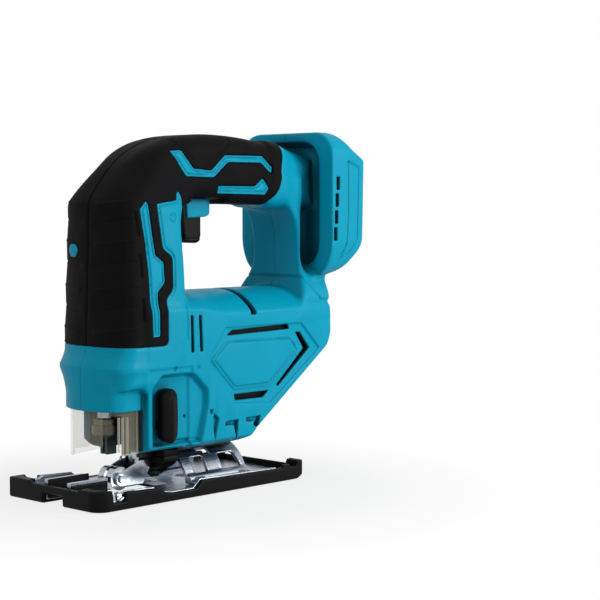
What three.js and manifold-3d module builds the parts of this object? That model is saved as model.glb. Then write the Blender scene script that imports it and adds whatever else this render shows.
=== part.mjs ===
// Cordless jigsaw, as an assembly of separate pieces. Millimetres.
// +X points to the rear, +Y to the tool's right, +Z up.
// The origin is on the sole of the shoe, at the middle of its tilting arch's front part.
import * as THREE from 'three';
import { mergeVertices } from 'three/addons/utils/BufferGeometryUtils.js';
import Module from 'manifold-3d';

const wasm = await Module();
wasm.setup();

// ---------------------------------------------------------------- driving dimensions
const gap = 0.3; // clearance between pieces that touch

// shoe
const shoeFront = -78;
const shoeRear = 76;
const shoeHalfWidth = 38.5;
const coverFloor = 1.5;
const coverWall = 2.4;
const coverRimHigh = 9.2;
const coverRimLow = 5.0;
const coverRimFront = 11.2;
const plateThickness = 2.6;
const slotHalfWidth = 8.2;
const slotWideHalf = 13;
const slotWideFront = -46;
const slotRear = -7;
const guideRibHeight = 12.4;
const guideRibWidth = 3;
const archRadius = 25;
const archWall = 2.4;
const archFront = -2.3;
const archRear = 44;
const archFootWidth = 8;

// housing
const columnFront = -51.8;
const noseFront = -57.5;
const noseBottom = 49;
const columnRear = -3.6;
const columnHalf = 28;
const handleBottom = 160;
const handleHeight = 39.4;
const handleTop = handleBottom + handleHeight;
const handleHalf = 19.5;
const bodyFront = -35;
const bodyHalf = 29;
const bodyBottom = 24;
const bodyWallBottom = 27.6;
const bodyRear = 111.8;
const deckTop = 110.7;
const postFront = 90;
const postHalf = 21;
const mountHalf = 38.5;
const mountFront = 101.5;
const mountRear = 129.8;
const mountTop = handleTop + 3.9;
const mountBottom = 116;
const wall = 2.8;
const gripWall = 2;
const gripBottom = 83.6;
const gripRear = -21.4;

// drive
const motorZ = 68;
const toothModule = 0.95;
const pinionTeeth = 12;
const gearTeeth = 46;
const meshSlack = 0.12;
const gearZ = motorZ + (toothModule * (pinionTeeth + gearTeeth)) / 2 + meshSlack;
const gearFrontX = -22;
const gearWidth = 8;
const crankRadius = 13;
const shaftRadius = 4;
const statorRadius = 22;
const statorFront = 9;
const statorLength = 34;
const fanRadius = 21;
const fanWidth = 7;
const bulkheadX = -12;
const bulkheadThickness = 5;
const rearBearingX = 56;
const bearingWidth = 7;
const bearingRadius = 11;

// slider and blade clamp
const sliderX = -40.8;
const sliderRadius = 4.5;
const sliderDown = 4; // travel below the stored place
const sliderUp = 22; // travel above it
const yokeZ = gearZ - crankRadius + sliderDown;
const yokeHalfWidth = 19.2;
const clampTop = 43.6;
const collarBottom = 34.7;
const collarRadius = 7.5;
const lowerBushZ = 66;
const lowerBushLength = 10;
const upperBushZ = 128;
const upperBushLength = 8;
const bushWall = 2.6;
const rodTop = upperBushZ + upperBushLength + sliderDown + 1;

// blade guidance
const rollerX = -35.6;
const rollerZ = 9.7;
const rollerRadius = 6.5;
const rollerWidth = 11;
const armPivotX = -18;
const armPivotZ = 25;
const guardHalf = 22.8;
const guardInset = 3.2; // dust cover's front skin, inward from the nose's outline
const guardRear = -35.4;
const guardTop = 49.6;
const guardBottom = 24.8;
const guardWall = 1.6;
const guardLift = 14;

// controls
const selectorX = -21.3;
const selectorZ = 39.5;
const knobLength = 30;
const knobWidth = 10.5;
const knobHeight = 8.6;
const recessDepth = 3.2;
const triggerHalf = 7;
const triggerTravel = 5.5;
const triggerBottom = handleBottom - 23;

// ---------------------------------------------------------------- materials
const finish = (color, roughness, metalness) =>
  new THREE.MeshStandardMaterial({ color, roughness, metalness });
const teal = finish(0x02a0bc, 0.42, 0);
const rubber = finish(0x1c1c1e, 0.8, 0);
const blackPlastic = finish(0x151517, 0.5, 0);
const steel = finish(0xb9bec4, 0.3, 1);
const darkSteel = finish(0x4a4640, 0.4, 1);
const castMetal = finish(0x2a2b2d, 0.55, 0.8);
const copper = finish(0xb0643a, 0.4, 1);
const bronze = finish(0x9a7440, 0.45, 1);
const board = finish(0x1e5a38, 0.6, 0);
const clear = new THREE.MeshStandardMaterial({
  color: 0xe6e4d8, roughness: 0.15, metalness: 0, transparent: true, opacity: 0.4,
});

// ---------------------------------------------------------------- solid helpers
function solid(geometry) {
  geometry.deleteAttribute('normal');
  geometry.deleteAttribute('uv');
  const merged = mergeVertices(geometry, 1e-4);
  const index = merged.index.array;
  return new wasm.Manifold(new wasm.Mesh({
    numProp: 3,
    vertProperties: new Float32Array(merged.attributes.position.array),
    triVerts: new Uint32Array(index),
  }));
}

function toGeometry(manifold) {
  const mesh = manifold.getMesh();
  const geometry = new THREE.BufferGeometry();
  geometry.setAttribute(
    'position', new THREE.BufferAttribute(new Float32Array(mesh.vertProperties), 3),
  );
  geometry.setIndex(new THREE.BufferAttribute(new Uint32Array(mesh.triVerts), 1));
  geometry.computeVertexNormals();
  return geometry;
}

const join = (...parts) => parts.flat().reduce((a, b) => a.add(b));
const cut = (base, ...tools) => tools.flat().reduce((a, b) => a.subtract(b), base);

// the main solid of a cut body, without slivers that a boolean left beside it
const largest = (body) => body.simplify(0.03).decompose().sort((a, b) => b.volume() - a.volume())[0];

function piece(parent, name, manifold, material) {
  const mesh = new THREE.Mesh(toGeometry(manifold), material);
  mesh.name = name;
  parent.add(mesh);
  return mesh;
}

function box(x0, x1, y0, y1, z0, z1) {
  const geometry = new THREE.BoxGeometry(x1 - x0, y1 - y0, z1 - z0);
  geometry.translate((x0 + x1) / 2, (y0 + y1) / 2, (z0 + z1) / 2);
  return solid(geometry);
}

function rod(axis, radius, from, to, a = 0, b = 0, sides = 16) {
  const geometry = new THREE.CylinderGeometry(radius, radius, to - from, sides);
  geometry.translate(0, (from + to) / 2, 0);
  if (axis === 'x') geometry.rotateZ(-Math.PI / 2).translate(0, a, b);
  if (axis === 'y') geometry.translate(a, 0, b);
  if (axis === 'z') geometry.rotateX(Math.PI / 2).translate(a, b, 0);
  return solid(geometry);
}

// a closed outline of [x, z] points, extruded along Y between y0 and y1
function slab(points, y0, y1, holes = []) {
  const shape = new THREE.Shape(points.map(([x, z]) => new THREE.Vector2(x, z)));
  holes.forEach((hole) => shape.holes.push(new THREE.Path(hole.map(([x, z]) => new THREE.Vector2(x, z)))));
  const geometry = new THREE.ExtrudeGeometry(shape, { depth: y1 - y0, bevelEnabled: false });
  geometry.rotateX(Math.PI / 2).translate(0, y1, 0);
  return solid(geometry);
}

// the same outline as a pillow of the given half width, its edges rounded; inset shrinks it all round
function pillow(points, half, edge, inset, steps) {
  const shape = new THREE.Shape(points.map(([x, z]) => new THREE.Vector2(x, z)));
  const geometry = new THREE.ExtrudeGeometry(shape, {
    depth: 2 * (half - inset - edge),
    bevelThickness: edge,
    bevelSize: edge,
    bevelOffset: -edge - inset,
    bevelSegments: steps,
  });
  geometry.rotateX(Math.PI / 2).translate(0, half - inset - edge, 0);
  return solid(geometry);
}

// points along a circular arc, degrees, about (cx, cz)
function arc(cx, cz, radius, from, to, count) {
  const at = (i) => THREE.MathUtils.degToRad(from + ((to - from) * i) / count);
  return Array.from(
    { length: count + 1 }, (_, i) => [cx + radius * Math.cos(at(i)), cz + radius * Math.sin(at(i))],
  );
}

// an outline in plan, [x, y] points, extruded along Z
function plan(points, z0, z1) {
  const shape = new THREE.Shape(points.map(([x, y]) => new THREE.Vector2(x, y)));
  const geometry = new THREE.ExtrudeGeometry(shape, { depth: z1 - z0, bevelEnabled: false });
  geometry.translate(0, 0, z0);
  return solid(geometry);
}

const tube = (axis, outer, inner, from, to, a, b, sides = 20) =>
  cut(rod(axis, outer, from, to, a, b, sides), rod(axis, inner, from - 1, to + 1, a, b, sides));

const half = (side, body) => {
  const far = 200;
  const [inner, outer] = side > 0 ? [gap / 2, far] : [-far, -gap / 2];
  return body.intersect(box(-far, far, inner, outer, -far, 2 * far));
};

// ---------------------------------------------------------------- housing outlines, [x, z]
const noseOutline = [
  [noseFront, noseBottom], [noseFront, gripBottom - 10.6], [columnFront - 0.6, gripBottom + 2.4],
  [columnRear, gripBottom + 2.4], [columnRear, noseBottom],
];
const columnOutline = [
  [columnFront - 0.6, gripBottom - 22], [columnFront, handleBottom - 4],
  [columnFront + 4.3, handleBottom + 7.5], [columnFront + 13.8, handleBottom + 18.5],
  [columnFront + 27.8, handleBottom + 26], [columnRear - 2, handleBottom + 27],
  [columnRear, handleBottom - 13], [columnRear, gripBottom - 22],
];
const handleOutline = [
  [columnFront + 0.3, handleBottom - 22], [columnFront + 3.3, handleBottom + 5.5],
  [columnFront + 9, handleBottom + 13.5],
  [columnFront + 19.5, handleTop - 15.4], [columnFront + 38.3, handleTop - 5.4],
  [columnFront + 52, handleTop - 2],
  [columnFront + 73, handleTop], [postFront - 44, handleTop - 0.7], [postFront - 19, handleTop - 3.8],
  [postFront - 2, handleTop - 8.4], [mountFront + 7.5, handleTop - 10.4],
  [mountFront + 7.5, handleBottom],
  [postFront, handleBottom - 0.5], [columnRear + 8, handleBottom], [columnRear, handleBottom - 8],
  [columnRear, handleBottom - 22],
];
const postOutline = [
  [postFront - 4, handleBottom + 15], [mountFront + 20.5, handleBottom + 15],
  [mountFront + 20.5, mountBottom + 14],
  [bodyRear, mountBottom + 2], [bodyRear, deckTop - 16], [postFront, deckTop - 16],
  [postFront - 1, deckTop + 7],
  [postFront + 2, handleBottom - 12], [postFront - 2, handleBottom + 2],
];
const bodyOutline = [
  [bodyFront, bodyBottom], [45, bodyBottom + 0.6], [61, bodyBottom + 13.4],
  [bodyRear - 7, gripBottom - 6],
  [bodyRear, gripBottom + 4.4], [bodyRear, deckTop], [bodyFront, deckTop],
];
const mountOutline = [
  [mountFront, mountBottom], [mountRear - 10.8, mountBottom + 6], [mountRear - 1, mountBottom + 21],
  [mountRear, mountTop - 18], [mountRear - 12.8, mountTop - 11.8], [mountRear - 21.8, mountTop],
  [mountFront - 13.5, mountTop - 1.3], [mountFront - 15, mountTop - 13.3],
  [mountFront, mountTop - 27.3],
];

// outer form of the housing, shrunk by the given amounts
function housingForm(inset, gripInset, steps) {
  const rearInset = Math.min(inset, wall); // the post and battery mount carry no rubber
  const nose = pillow(noseOutline, columnHalf, 8, inset, steps);
  const column = pillow(columnOutline, columnHalf, 8, gripInset, steps);
  const handle = pillow(handleOutline, handleHalf, 8, gripInset, steps);
  const body = pillow(bodyOutline, bodyHalf, 7, inset, steps);
  const post = pillow(postOutline, postHalf, 6, rearInset, steps);
  const mount = pillow(mountOutline, mountHalf, 5, rearInset, steps);
  return join(nose, column, handle, body, post, mount);
}

// plan outline that rounds the nose
function nosePlan(inset) {
  const front = noseFront + inset;
  const side = bodyHalf + 10;
  const depth = 27;
  const count = 8;
  const curve = Array.from({ length: count + 1 }, (_, i) => {
    const t = -1 + (2 * i) / count;
    const bulge = Math.sign(t) * Math.abs(t) ** 0.62;
    return [
      front + depth * (1 - Math.sqrt(Math.max(0, 1 - Math.abs(bulge) ** 2.4))),
      bulge * (columnHalf + 0.5 - inset),
    ];
  });
  return plan(
    [
      ...curve, [front + depth, side], [mountRear + 5, side + 5], [mountRear + 5, -side - 5],
      [front + depth, -side],
    ],
    -10, 260,
  );
}

// rubber zone on the side, [x, z], grown all round
const gripZone = (grow) => [
  [noseFront - 9, gripBottom - grow], [gripRear + grow, gripBottom - grow],
  [gripRear + grow, gripBottom + 25.5],
  [gripRear + 5.4 + grow, gripBottom + 30], [gripRear + 5.4 + grow, gripBottom + 48],
  [gripRear - 1.4 + grow, gripBottom + 52], [gripRear - 5 + grow, handleBottom + 1 - grow],
  [columnRear - 6, handleBottom + 3 - grow], [columnRear - 2, handleBottom + 6 - grow],
  [columnRear + 8, handleBottom - 9], [postFront - 22, handleBottom - 9],
  ...arc(postFront - 24, handleBottom + 17, 11.5 + grow, -60, 62, 5),
  [postFront - 22 + grow, handleTop + 8], [noseFront - 9, handleTop + 8],
];

// ---------------------------------------------------------------- shapes shared by a piece and its seat
const statorForm = (grow) => rod(
  'x', statorRadius + grow, statorFront - grow, statorFront + statorLength + grow, 0, motorZ, 24,
);
const rearBearingForm = (grow) =>
  rod(
    'x', bearingRadius + grow, rearBearingX - grow, rearBearingX + bearingWidth + grow, 0, motorZ, 20,
  );
const frontBearingForm = (grow) =>
  rod(
    'x', bearingRadius + grow, bulkheadX + 0.5 - grow, bulkheadX + bulkheadThickness + 2 + grow, 0,
    motorZ, 20,
  );
const gearBearingForm = (grow) =>
  rod(
    'x', bearingRadius + grow, bulkheadX + 0.5 - grow, bulkheadX + bulkheadThickness + grow, 0, gearZ,
    20,
  );
const upperBushForm = (grow) =>
  rod(
    'z', sliderRadius + bushWall + grow, upperBushZ - grow, upperBushZ + upperBushLength + grow,
    sliderX, 0,
  );
const lowerBushForm = (grow) =>
  rod(
    'z', sliderRadius + bushWall + grow, lowerBushZ - grow, lowerBushZ + lowerBushLength + grow,
    sliderX, 0,
  );
const selectorForm = (grow) => rod('y', 4 + grow, -bodyHalf - 10, 9 + grow, selectorX, selectorZ);

const boltX = 18;
const boltRadius = 3;
const castHalf = 12.5;
const saddleRear = 42;
const castTop = 60;

function gearHousingForm(grow) {
  const bulkhead = box(
    bulkheadX - grow, bulkheadX + bulkheadThickness + grow, -22 - grow, 22 + grow, 36 - grow,
    107 + grow,
  );
  const cheeks = [-1, 1].map((side) => {
    const y = side * 11.8;
    return box(sliderX - 3, bulkheadX + 1, y - 1.9 - grow, y + 1.9 + grow, 62 - grow, 72 + grow);
  });
  const boss = box(
    sliderX - 9 - grow, sliderX + 9.5 + grow, -castHalf - 1.2 - grow, castHalf + 1.2 + grow,
    lowerBushZ - 0.4 - grow, lowerBushZ + lowerBushLength + 0.4 + grow,
  );
  const block = box(
    sliderX + collarRadius + 2 - grow, bulkheadX + 1, -castHalf - grow, castHalf + grow, 30 - grow,
    castTop + grow,
  );
  const saddle = box(
    bulkheadX - grow, saddleRear + grow, -castHalf - grow, castHalf + grow, archRadius - 6 - grow,
    40 + grow,
  );
  return join(bulkhead, cheeks, boss, block, saddle);
}

// ---------------------------------------------------------------- bodies as groups
const jigsaw = new THREE.Group();
const rotor = new THREE.Group();
const crank = new THREE.Group();
const slider = new THREE.Group();
const trigger = new THREE.Group();
const shoe = new THREE.Group();
const dustCover = new THREE.Group();
const rollerArm = new THREE.Group();
const selector = new THREE.Group();
rotor.position.set(0, 0, motorZ);
crank.position.set(0, 0, gearZ);
slider.position.set(sliderX, 0, 0);
jigsaw.add(rotor, crank, slider, trigger, shoe, dustCover, rollerArm, selector);

// ---------------------------------------------------------------- switch, trigger
const switchFront = 10;
const switchRear = 50;
const switchBottom = handleBottom + 20;
const switchHalf = 9;
const stemTop = switchBottom - 11;
const triggerFront = 9.6;
const capFront = 14.6;
const capRear = 31.3;
const capBottom = handleBottom - 7.7;

const switchForm = (grow) =>
  box(
    switchFront - grow, switchRear + grow, -switchHalf - grow, switchHalf + grow, switchBottom - grow,
    switchBottom + 13 + grow,
  );

function buildTrigger() {
  const half = triggerHalf;
  const lever = join(
    box(triggerFront, 26.1, -half, half, triggerBottom, capBottom - gap),
    box(triggerFront, capFront - gap, -half, half, capBottom - 1, stemTop),
    box(triggerFront, 24, -half, half, handleBottom + 4.5, stemTop),
  );
  const tip = rod('y', 30, -half - 1, half + 1, triggerFront - 26.5, triggerBottom + 4, 48);
  piece(trigger, 'trigger_lever', cut(lever, tip), blackPlastic);
  piece(
    trigger, 'trigger_cap', box(capFront, capRear, -half, half, capBottom, handleBottom + 4.2), teal,
  );
  const coilRadius = 3;
  const coil = tube('z', coilRadius, coilRadius - 1, stemTop + gap, switchBottom - gap, 18, 0, 16);
  piece(jigsaw, 'trigger_spring', coil, steel);
  const plunger = box(switchFront + 3, switchFront + 5, -2, 2, switchBottom - 3, switchBottom + 1);
  piece(jigsaw, 'switch_body', join(switchForm(0), plunger), blackPlastic);
}
buildTrigger();

const triggerPath = box(
  triggerFront - 0.6, capRear + 0.6, -triggerHalf - 0.4, triggerHalf + 0.4,
  triggerBottom - 2, stemTop + triggerTravel + 0.6,
);

// ---------------------------------------------------------------- battery terminals, controller board
const terminalBottom = 148;
const terminalHeight = 28;
const terminalTop = terminalBottom + terminalHeight;
const terminalHalf = 15;
const socketDepth = 10.4;
const socketHalf = 30.5;
const railLip = 4;
const railThickness = 3;
const terminalX = mountRear - socketDepth;
const terminalForm = (grow) => join(
  box(
    terminalX - 6 - grow, terminalX + 6 + grow, -terminalHalf - grow, terminalHalf + grow,
    terminalBottom - grow, terminalTop + grow,
  ),
  box(
    terminalX - 8 - grow, terminalX - 4, -terminalHalf - 2 - grow, terminalHalf + 2 + grow,
    terminalBottom - 2 - grow, terminalTop + 2 + grow,
  ),
);
const bladeOffsets = [-9, 0, 9];

function buildTerminals() {
  const slots = bladeOffsets.map((y) => box(
    terminalX - 2, terminalX + 8, y - 1.6, y + 1.6, terminalBottom + 4, terminalTop + 3,
  ));
  piece(jigsaw, 'terminal_block', cut(terminalForm(0), slots), blackPlastic);
  ['negative', 'signal', 'positive'].forEach((name, i) => {
    const y = bladeOffsets[i];
    const blade = box(
      terminalX - 2 + gap, terminalX + 5.4, y - 0.5, y + 0.5, terminalBottom + 4 + gap,
      terminalTop - 2,
    );
    piece(jigsaw, `${name}_terminal`, blade, copper);
  });
}
buildTerminals();

// the socket that the battery slides down into, open at the rear and the top
const socket = join(
  box(terminalX, mountRear - railThickness, -socketHalf, socketHalf, terminalBottom - 8, mountTop + 5),
  box(
    terminalX, mountRear + 5, -socketHalf + railLip, socketHalf - railLip, terminalBottom - 8,
    mountTop + 5,
  ),
);

const boardFront = 14;
const boardRear = 86;
const boardZ = 97;
const boardThickness = 1.8;
const boardHalf = 21;
const boardForm = (grow) => box(
  boardFront - grow, boardRear + grow, -boardHalf - grow, boardHalf + grow,
  boardZ - grow, boardZ + boardThickness + grow,
);

function buildBoard() {
  piece(jigsaw, 'controller_board', boardForm(0), board);
  const capRadius = 5;
  const low = boardZ + boardThickness + gap;
  piece(jigsaw, 'capacitor', rod('z', capRadius - 1, low, low + 6, 44, 0, 16), blackPlastic);
}
buildBoard();

// ---------------------------------------------------------------- housing halves and rubber grips
const screwSpots = [
  [-29, handleBottom - 8], [-10, handleTop - 21.4], [60, handleTop - 21.4],
  [postFront + 6, handleBottom - 20], [bodyRear - 11.8, 94], [58, 46], [-25.5, 124],
];
const bossRadius = 4;
const screwRadius = 1.6;
const screwHeadRadius = 3;

function buildHousing() {
  const rounding = nosePlan(0);
  const outer = housingForm(0, 0, 2).intersect(rounding);
  const insetForm = (inset) => housingForm(inset, inset, 1).intersect(nosePlan(inset));
  const underGrip = insetForm(gripWall + gap);
  const gripFace = insetForm(gripWall);
  // the room inside the walls, grown into them by the given amount
  const room = (into) => {
    const deep = wall + gripWall - into;
    const thin = cut(
      housingForm(wall - into, deep, 1).intersect(nosePlan(deep)), slab(gripZone(wall - into), -60, 60),
    );
    return join(insetForm(deep), thin);
  };
  const cavity = room(0);
  const zone = slab(gripZone(0), -60, 60);
  const bed = slab(gripZone(gap), -60, 60);

  // walls, with cross ribs that carry what is inside
  const ribs = [
    [statorFront + 4, statorFront + 6.5],
    [statorFront + statorLength - 7, statorFront + statorLength - 4.5],
    [rearBearingX - 2, rearBearingX + bearingWidth + 2],
  ].map(([x0, x1]) => box(x0, x1, -60, 60, motorZ - 30, motorZ + 27));
  const bushRib = box(
    sliderX - 12, sliderX + 14, -60, 60, upperBushZ - 2, upperBushZ + upperBushLength + 2,
  );
  const bulkheadRib = box(bulkheadX - 2, bulkheadX + bulkheadThickness + 2, -60, 60, 38, 104);
  const switchRibs = [switchFront + 12, switchRear - 4].map((x) => box(
    x, x + 2.5, -60, 60, switchBottom - 1, switchBottom + 16,
  ));
  const boardRibs = [boardFront + 8, boardRear - 10].map((x) => box(
    x, x + 2.5, -60, 60, boardZ - 3, boardZ + 5,
  ));
  const bosses = screwSpots.map(([x, z]) => rod('y', bossRadius, -60, 60, x, z, 8));
  const inside = join(ribs, bushRib, bulkheadRib, switchRibs, boardRibs, bosses).intersect(room(1.1));
  const clearance = [
    statorForm(gap), rearBearingForm(gap), frontBearingForm(gap), gearHousingForm(gap), upperBushForm(gap),
    rod('z', sliderRadius + 1, lowerBushZ - 6, rodTop + sliderUp + 2, sliderX, 0),
    rod('x', fanRadius + 1.5, bulkheadX + bulkheadThickness + 0.5, statorFront, 0, motorZ, 20),
    rod('x', 15, -30, 70, 0, motorZ, 24).intersect(box(-30, rearBearingX - 1.4, -60, 60, 0, 200)),
    rod('x', gearTeeth * toothModule / 2 + 2, gearFrontX - 8, bulkheadX, 0, gearZ, 20),
    switchForm(gap), boardForm(gap), selectorForm(gap),
    rod('x', shaftRadius + 1, 0, rearBearingX + bearingWidth + 1.6, 0, motorZ),
    box(
      boardFront + 2, boardRear - 2, -boardHalf + 3, boardHalf - 3, boardZ - 5, boardZ + 14,
    ).intersect(cavity),
  ];
  const shell = cut(
    outer,
    cut(
      cavity,
      box(
        terminalX - wall, mountRear, -socketHalf - wall, socketHalf + wall, terminalBottom - 8 - wall,
        mountTop,
      ),
    ),
  );
  const recessOutline = (grow) => [
    ...arc(-12, 46, 20.5 + grow, -53, 45, 5), [-32 - grow, 63 + grow],
    [-32 - grow, selectorZ - 9.8 - grow],
  ];
  const recessFloor = slab(
    recessOutline(1.6), -bodyHalf + 1, -bodyHalf + recessDepth + 2,
  ).intersect(outer);
  let body = cut(join(shell, inside, recessFloor), clearance);

  // outside cuts: battery socket, rubber bed, nose mouth, trigger slot, vents, selector recess, arch path
  body = cut(body, socket, terminalForm(gap), triggerPath);
  body = cut(body, cut(bed, underGrip));
  const mouth = nosePlan(wall).intersect(
    box(
      noseFront, guardRear + 1, -guardHalf - 0.6, guardHalf + 0.6, bodyBottom - 5,
      guardTop + guardLift + 1.7,
    ),
  );
  const archPath = rod('x', archRadius + gap, archFront - 9, archRear + 30, 0, 0, 32);
  const footing = box(-36, bulkheadX, -castHalf - gap, castHalf + gap, 0, castTop);
  body = cut(body, mouth, archPath, footing);
  const chamfer = [-1, 1].map((side) => {
    const reach = bodyHalf + 3;
    const shape = new THREE.Shape([
      new THREE.Vector2(side * (reach + 6), bodyWallBottom + 2.2),
      new THREE.Vector2(side * (reach + 6), 0),
      new THREE.Vector2(side * 19.5, 0),
      new THREE.Vector2(side * 19.5, bodyBottom - 0.6),
      new THREE.Vector2(side * (bodyHalf + 0.5), bodyWallBottom + 0.3),
    ]);
    const geometry = new THREE.ExtrudeGeometry(shape, { depth: 130, bevelEnabled: false });
    geometry.rotateX(Math.PI / 2).rotateZ(Math.PI / 2).translate(75, 0, 0);
    return solid(geometry);
  });
  body = cut(body, chamfer);

  const slits = [-3.7, 2.6].map((x) => box(x - 1.2, x + 1.2, -60, 60, 79.5, 99));
  const ventBars = [[26, 70, 88.2], [29, 53, 51]].map(([x0, x1, z]) => box(
    x0, x1, -60, 60, z - 1.5, z + 1.5,
  ));
  const mountVents = [0, 1, 2, 3].map((i) => box(
    105, 107.4, -60, 60, 138.8 + i * 9.7, 146.4 + i * 9.7,
  ));
  const recess = slab(recessOutline(0), -bodyHalf - 1, -bodyHalf + recessDepth);
  body = cut(body, slits, ventBars, mountVents, recess);
  const grips = cut(zone.intersect(cut(outer, gripFace)), triggerPath);

  const names = { '-1': 'left', 1: 'right' };
  [-1, 1].forEach((side) => {
    let shellHalf = half(side, body);
    let gripHalf = half(side, grips);
    const drill = screwSpots.map(([x, z]) => rod('y', screwRadius + gap, -10, 60, x, z, 8));
    shellHalf = cut(shellHalf, drill);
    if (side > 0) {
      const sinks = screwSpots.map(([x, z]) => rod('y', screwHeadRadius + gap, 10, 60, x, z, 10));
      shellHalf = cut(shellHalf, sinks);
      gripHalf = cut(gripHalf, sinks);
    }
    piece(jigsaw, `housing_${names[side]}`, largest(shellHalf), teal);
    piece(jigsaw, `grip_${names[side]}`, largest(gripHalf), rubber);
  });
  screwSpots.forEach(([x, z], i) => {
    const shank = rod('y', screwRadius, -9.4, 11, x, z, 8);
    const head = rod('y', screwHeadRadius, 10 + gap, 13, x, z, 10);
    piece(jigsaw, `housing_screw_${i + 1}`, join(shank, head), darkSteel);
  });
}
buildHousing();

// ---------------------------------------------------------------- gear housing, bushes, shafts
function buildGearHousing() {
  const lugs = [-1, 1].map((side) => {
    const y0 = side > 0 ? 4.6 : -7.4;
    return box(armPivotX - 5, armPivotX + 6, y0, y0 + 2.8, armPivotZ - 5, 32);
  });
  const tail = box(-12, -8.5, -7.4, 7.4, 9.6, 32);
  const form = cut(
    join(gearHousingForm(0), lugs, tail),
    frontBearingForm(gap), gearBearingForm(gap), lowerBushForm(gap),
    rod('z', sliderRadius + bushWall - 1, 55, 90, sliderX, 0),
    rod('x', archRadius + gap, -6, saddleRear + 10, 0, 0, 40),
    rod('x', 8, -40, 0, 0, motorZ),
    rod('x', shaftRadius + gap, -40, 0, 0, gearZ),
    selectorForm(gap),
    rod('y', 2 + gap, -20, 20, armPivotX, armPivotZ, 16),
    rod('z', boltRadius + gap, 10, 36, boltX, 0, 16),
    rod(
      'x', fanRadius + 1.5, bulkheadX + bulkheadThickness + 0.4, statorFront + statorLength + 4, 0,
      motorZ, 20,
    ),
    box(-40, bulkheadX - gap, -8.4, 8.4, castTop - 1, lowerBushZ - 0.5),
    statorForm(gap),
  );
  piece(jigsaw, 'gear_housing', form, castMetal);
  piece(
    jigsaw, 'lower_bush', cut(lowerBushForm(0), rod('z', sliderRadius + 0.1, 0, 2 * lowerBushZ, sliderX, 0, 20)),
    bronze,
  );
  piece(
    jigsaw, 'upper_bush',
    cut(upperBushForm(0), rod('z', sliderRadius + 0.1, 0, 2 * upperBushZ, sliderX, 0, 20)), bronze,
  );
  const bearingFace = (form, z) => cut(form(0), rod('x', shaftRadius + gap, -30, 80, 0, z));
  piece(jigsaw, 'front_bearing', bearingFace(frontBearingForm, motorZ), steel);
  piece(jigsaw, 'rear_bearing', bearingFace(rearBearingForm, motorZ), steel);
  piece(jigsaw, 'gear_bearing', bearingFace(gearBearingForm, gearZ), steel);
}
buildGearHousing();

// ---------------------------------------------------------------- motor
function buildMotor() {
  const bore = 12.6;
  const slots = Array.from({ length: 6 }, (_, i) => {
    const slot = new THREE.BoxGeometry(statorLength + 2, 5, 6);
    slot.translate(
      statorFront + statorLength / 2, 0, 15.6,
    ).rotateX((i * Math.PI) / 3).translate(0, 0, motorZ);
    return solid(slot);
  });
  const core = cut(statorForm(0), rod('x', bore, 0, 60, 0, motorZ, 36), slots);
  piece(jigsaw, 'stator', core, darkSteel);
  const coils = Array.from({ length: 6 }, (_, i) => {
    const coil = new THREE.BoxGeometry(statorLength + 6, 4.2, 5.2);
    coil.translate(
      statorFront + statorLength / 2, 0, 15.7,
    ).rotateX((i * Math.PI) / 3).translate(0, 0, motorZ);
    return solid(coil);
  });
  const endRings = [statorFront - 3, statorFront + statorLength + 1].map((x) => tube(
    'x', 18.2, 13.4, x, x + 2, 0, motorZ, 20,
  ));
  piece(jigsaw, 'stator_windings', join(coils, endRings), copper);
  const x0 = statorFront + 2;
  const x1 = statorFront + statorLength - 2;
  piece(rotor, 'rotor_core', tube('x', 12, shaftRadius + 0.3, x0, x1, 0, 0, 32), darkSteel);
  piece(
    rotor, 'motor_shaft',
    rod('x', shaftRadius, gearFrontX - 1.6, rearBearingX + bearingWidth + 1, 0, 0, 20), steel,
  );
  const fanX = bulkheadX + bulkheadThickness + 3;
  const hub = tube('x', 8, shaftRadius + 0.3, fanX, fanX + fanWidth, 0, 0, 24);
  const disc = tube(
    'x', fanRadius, shaftRadius + 0.3, fanX + fanWidth - 1.5, fanX + fanWidth, 0, 0, 36,
  );
  const vanes = Array.from({ length: 11 }, (_, i) => {
    const vane = new THREE.BoxGeometry(fanWidth, 1.2, fanRadius - 8);
    vane.translate(fanX + fanWidth / 2, 0, 7.4 + (fanRadius - 8) / 2).rotateX((i * 2 * Math.PI) / 11);
    return solid(vane);
  });
  piece(rotor, 'fan', join(hub, disc, vanes), blackPlastic);
}
buildMotor();

// ---------------------------------------------------------------- gears, crank pin
// outline of a spur gear, [y, z] points, with thinned teeth for backlash
function gearOutline(teeth, phase) {
  const pitch = (toothModule * teeth) / 2;
  const radii = [pitch - 1.2 * toothModule, pitch + 0.85 * toothModule];
  const halfAngles = [0.31, 0.1].map((share) => (share * 2 * Math.PI) / teeth);
  const points = [];
  for (let i = 0; i < teeth; i += 1) {
    const middle = phase + (i * 2 * Math.PI) / teeth;
    [0, 1].forEach((k) => points.push([radii[k], middle - halfAngles[k]]));
    [1, 0].forEach((k) => points.push([radii[k], middle + halfAngles[k]]));
  }
  return points.map(([r, angle]) => new THREE.Vector2(r * Math.cos(angle), r * Math.sin(angle)));
}

function gear(teeth, x0, x1, phase, hole) {
  const shape = new THREE.Shape(gearOutline(teeth, phase));
  const geometry = new THREE.ExtrudeGeometry(shape, { depth: x1 - x0, bevelEnabled: false });
  geometry.rotateY(Math.PI / 2).rotateX(Math.PI / 2).translate(x0, 0, 0);
  return cut(solid(geometry), rod('x', hole, x0 - 1, x1 + 1));
}

const pinY = Math.sqrt(crankRadius ** 2 - (yokeZ - gearZ) ** 2);
const pinZ = yokeZ - gearZ;
const yokeRearX = sliderX + 14;

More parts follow.
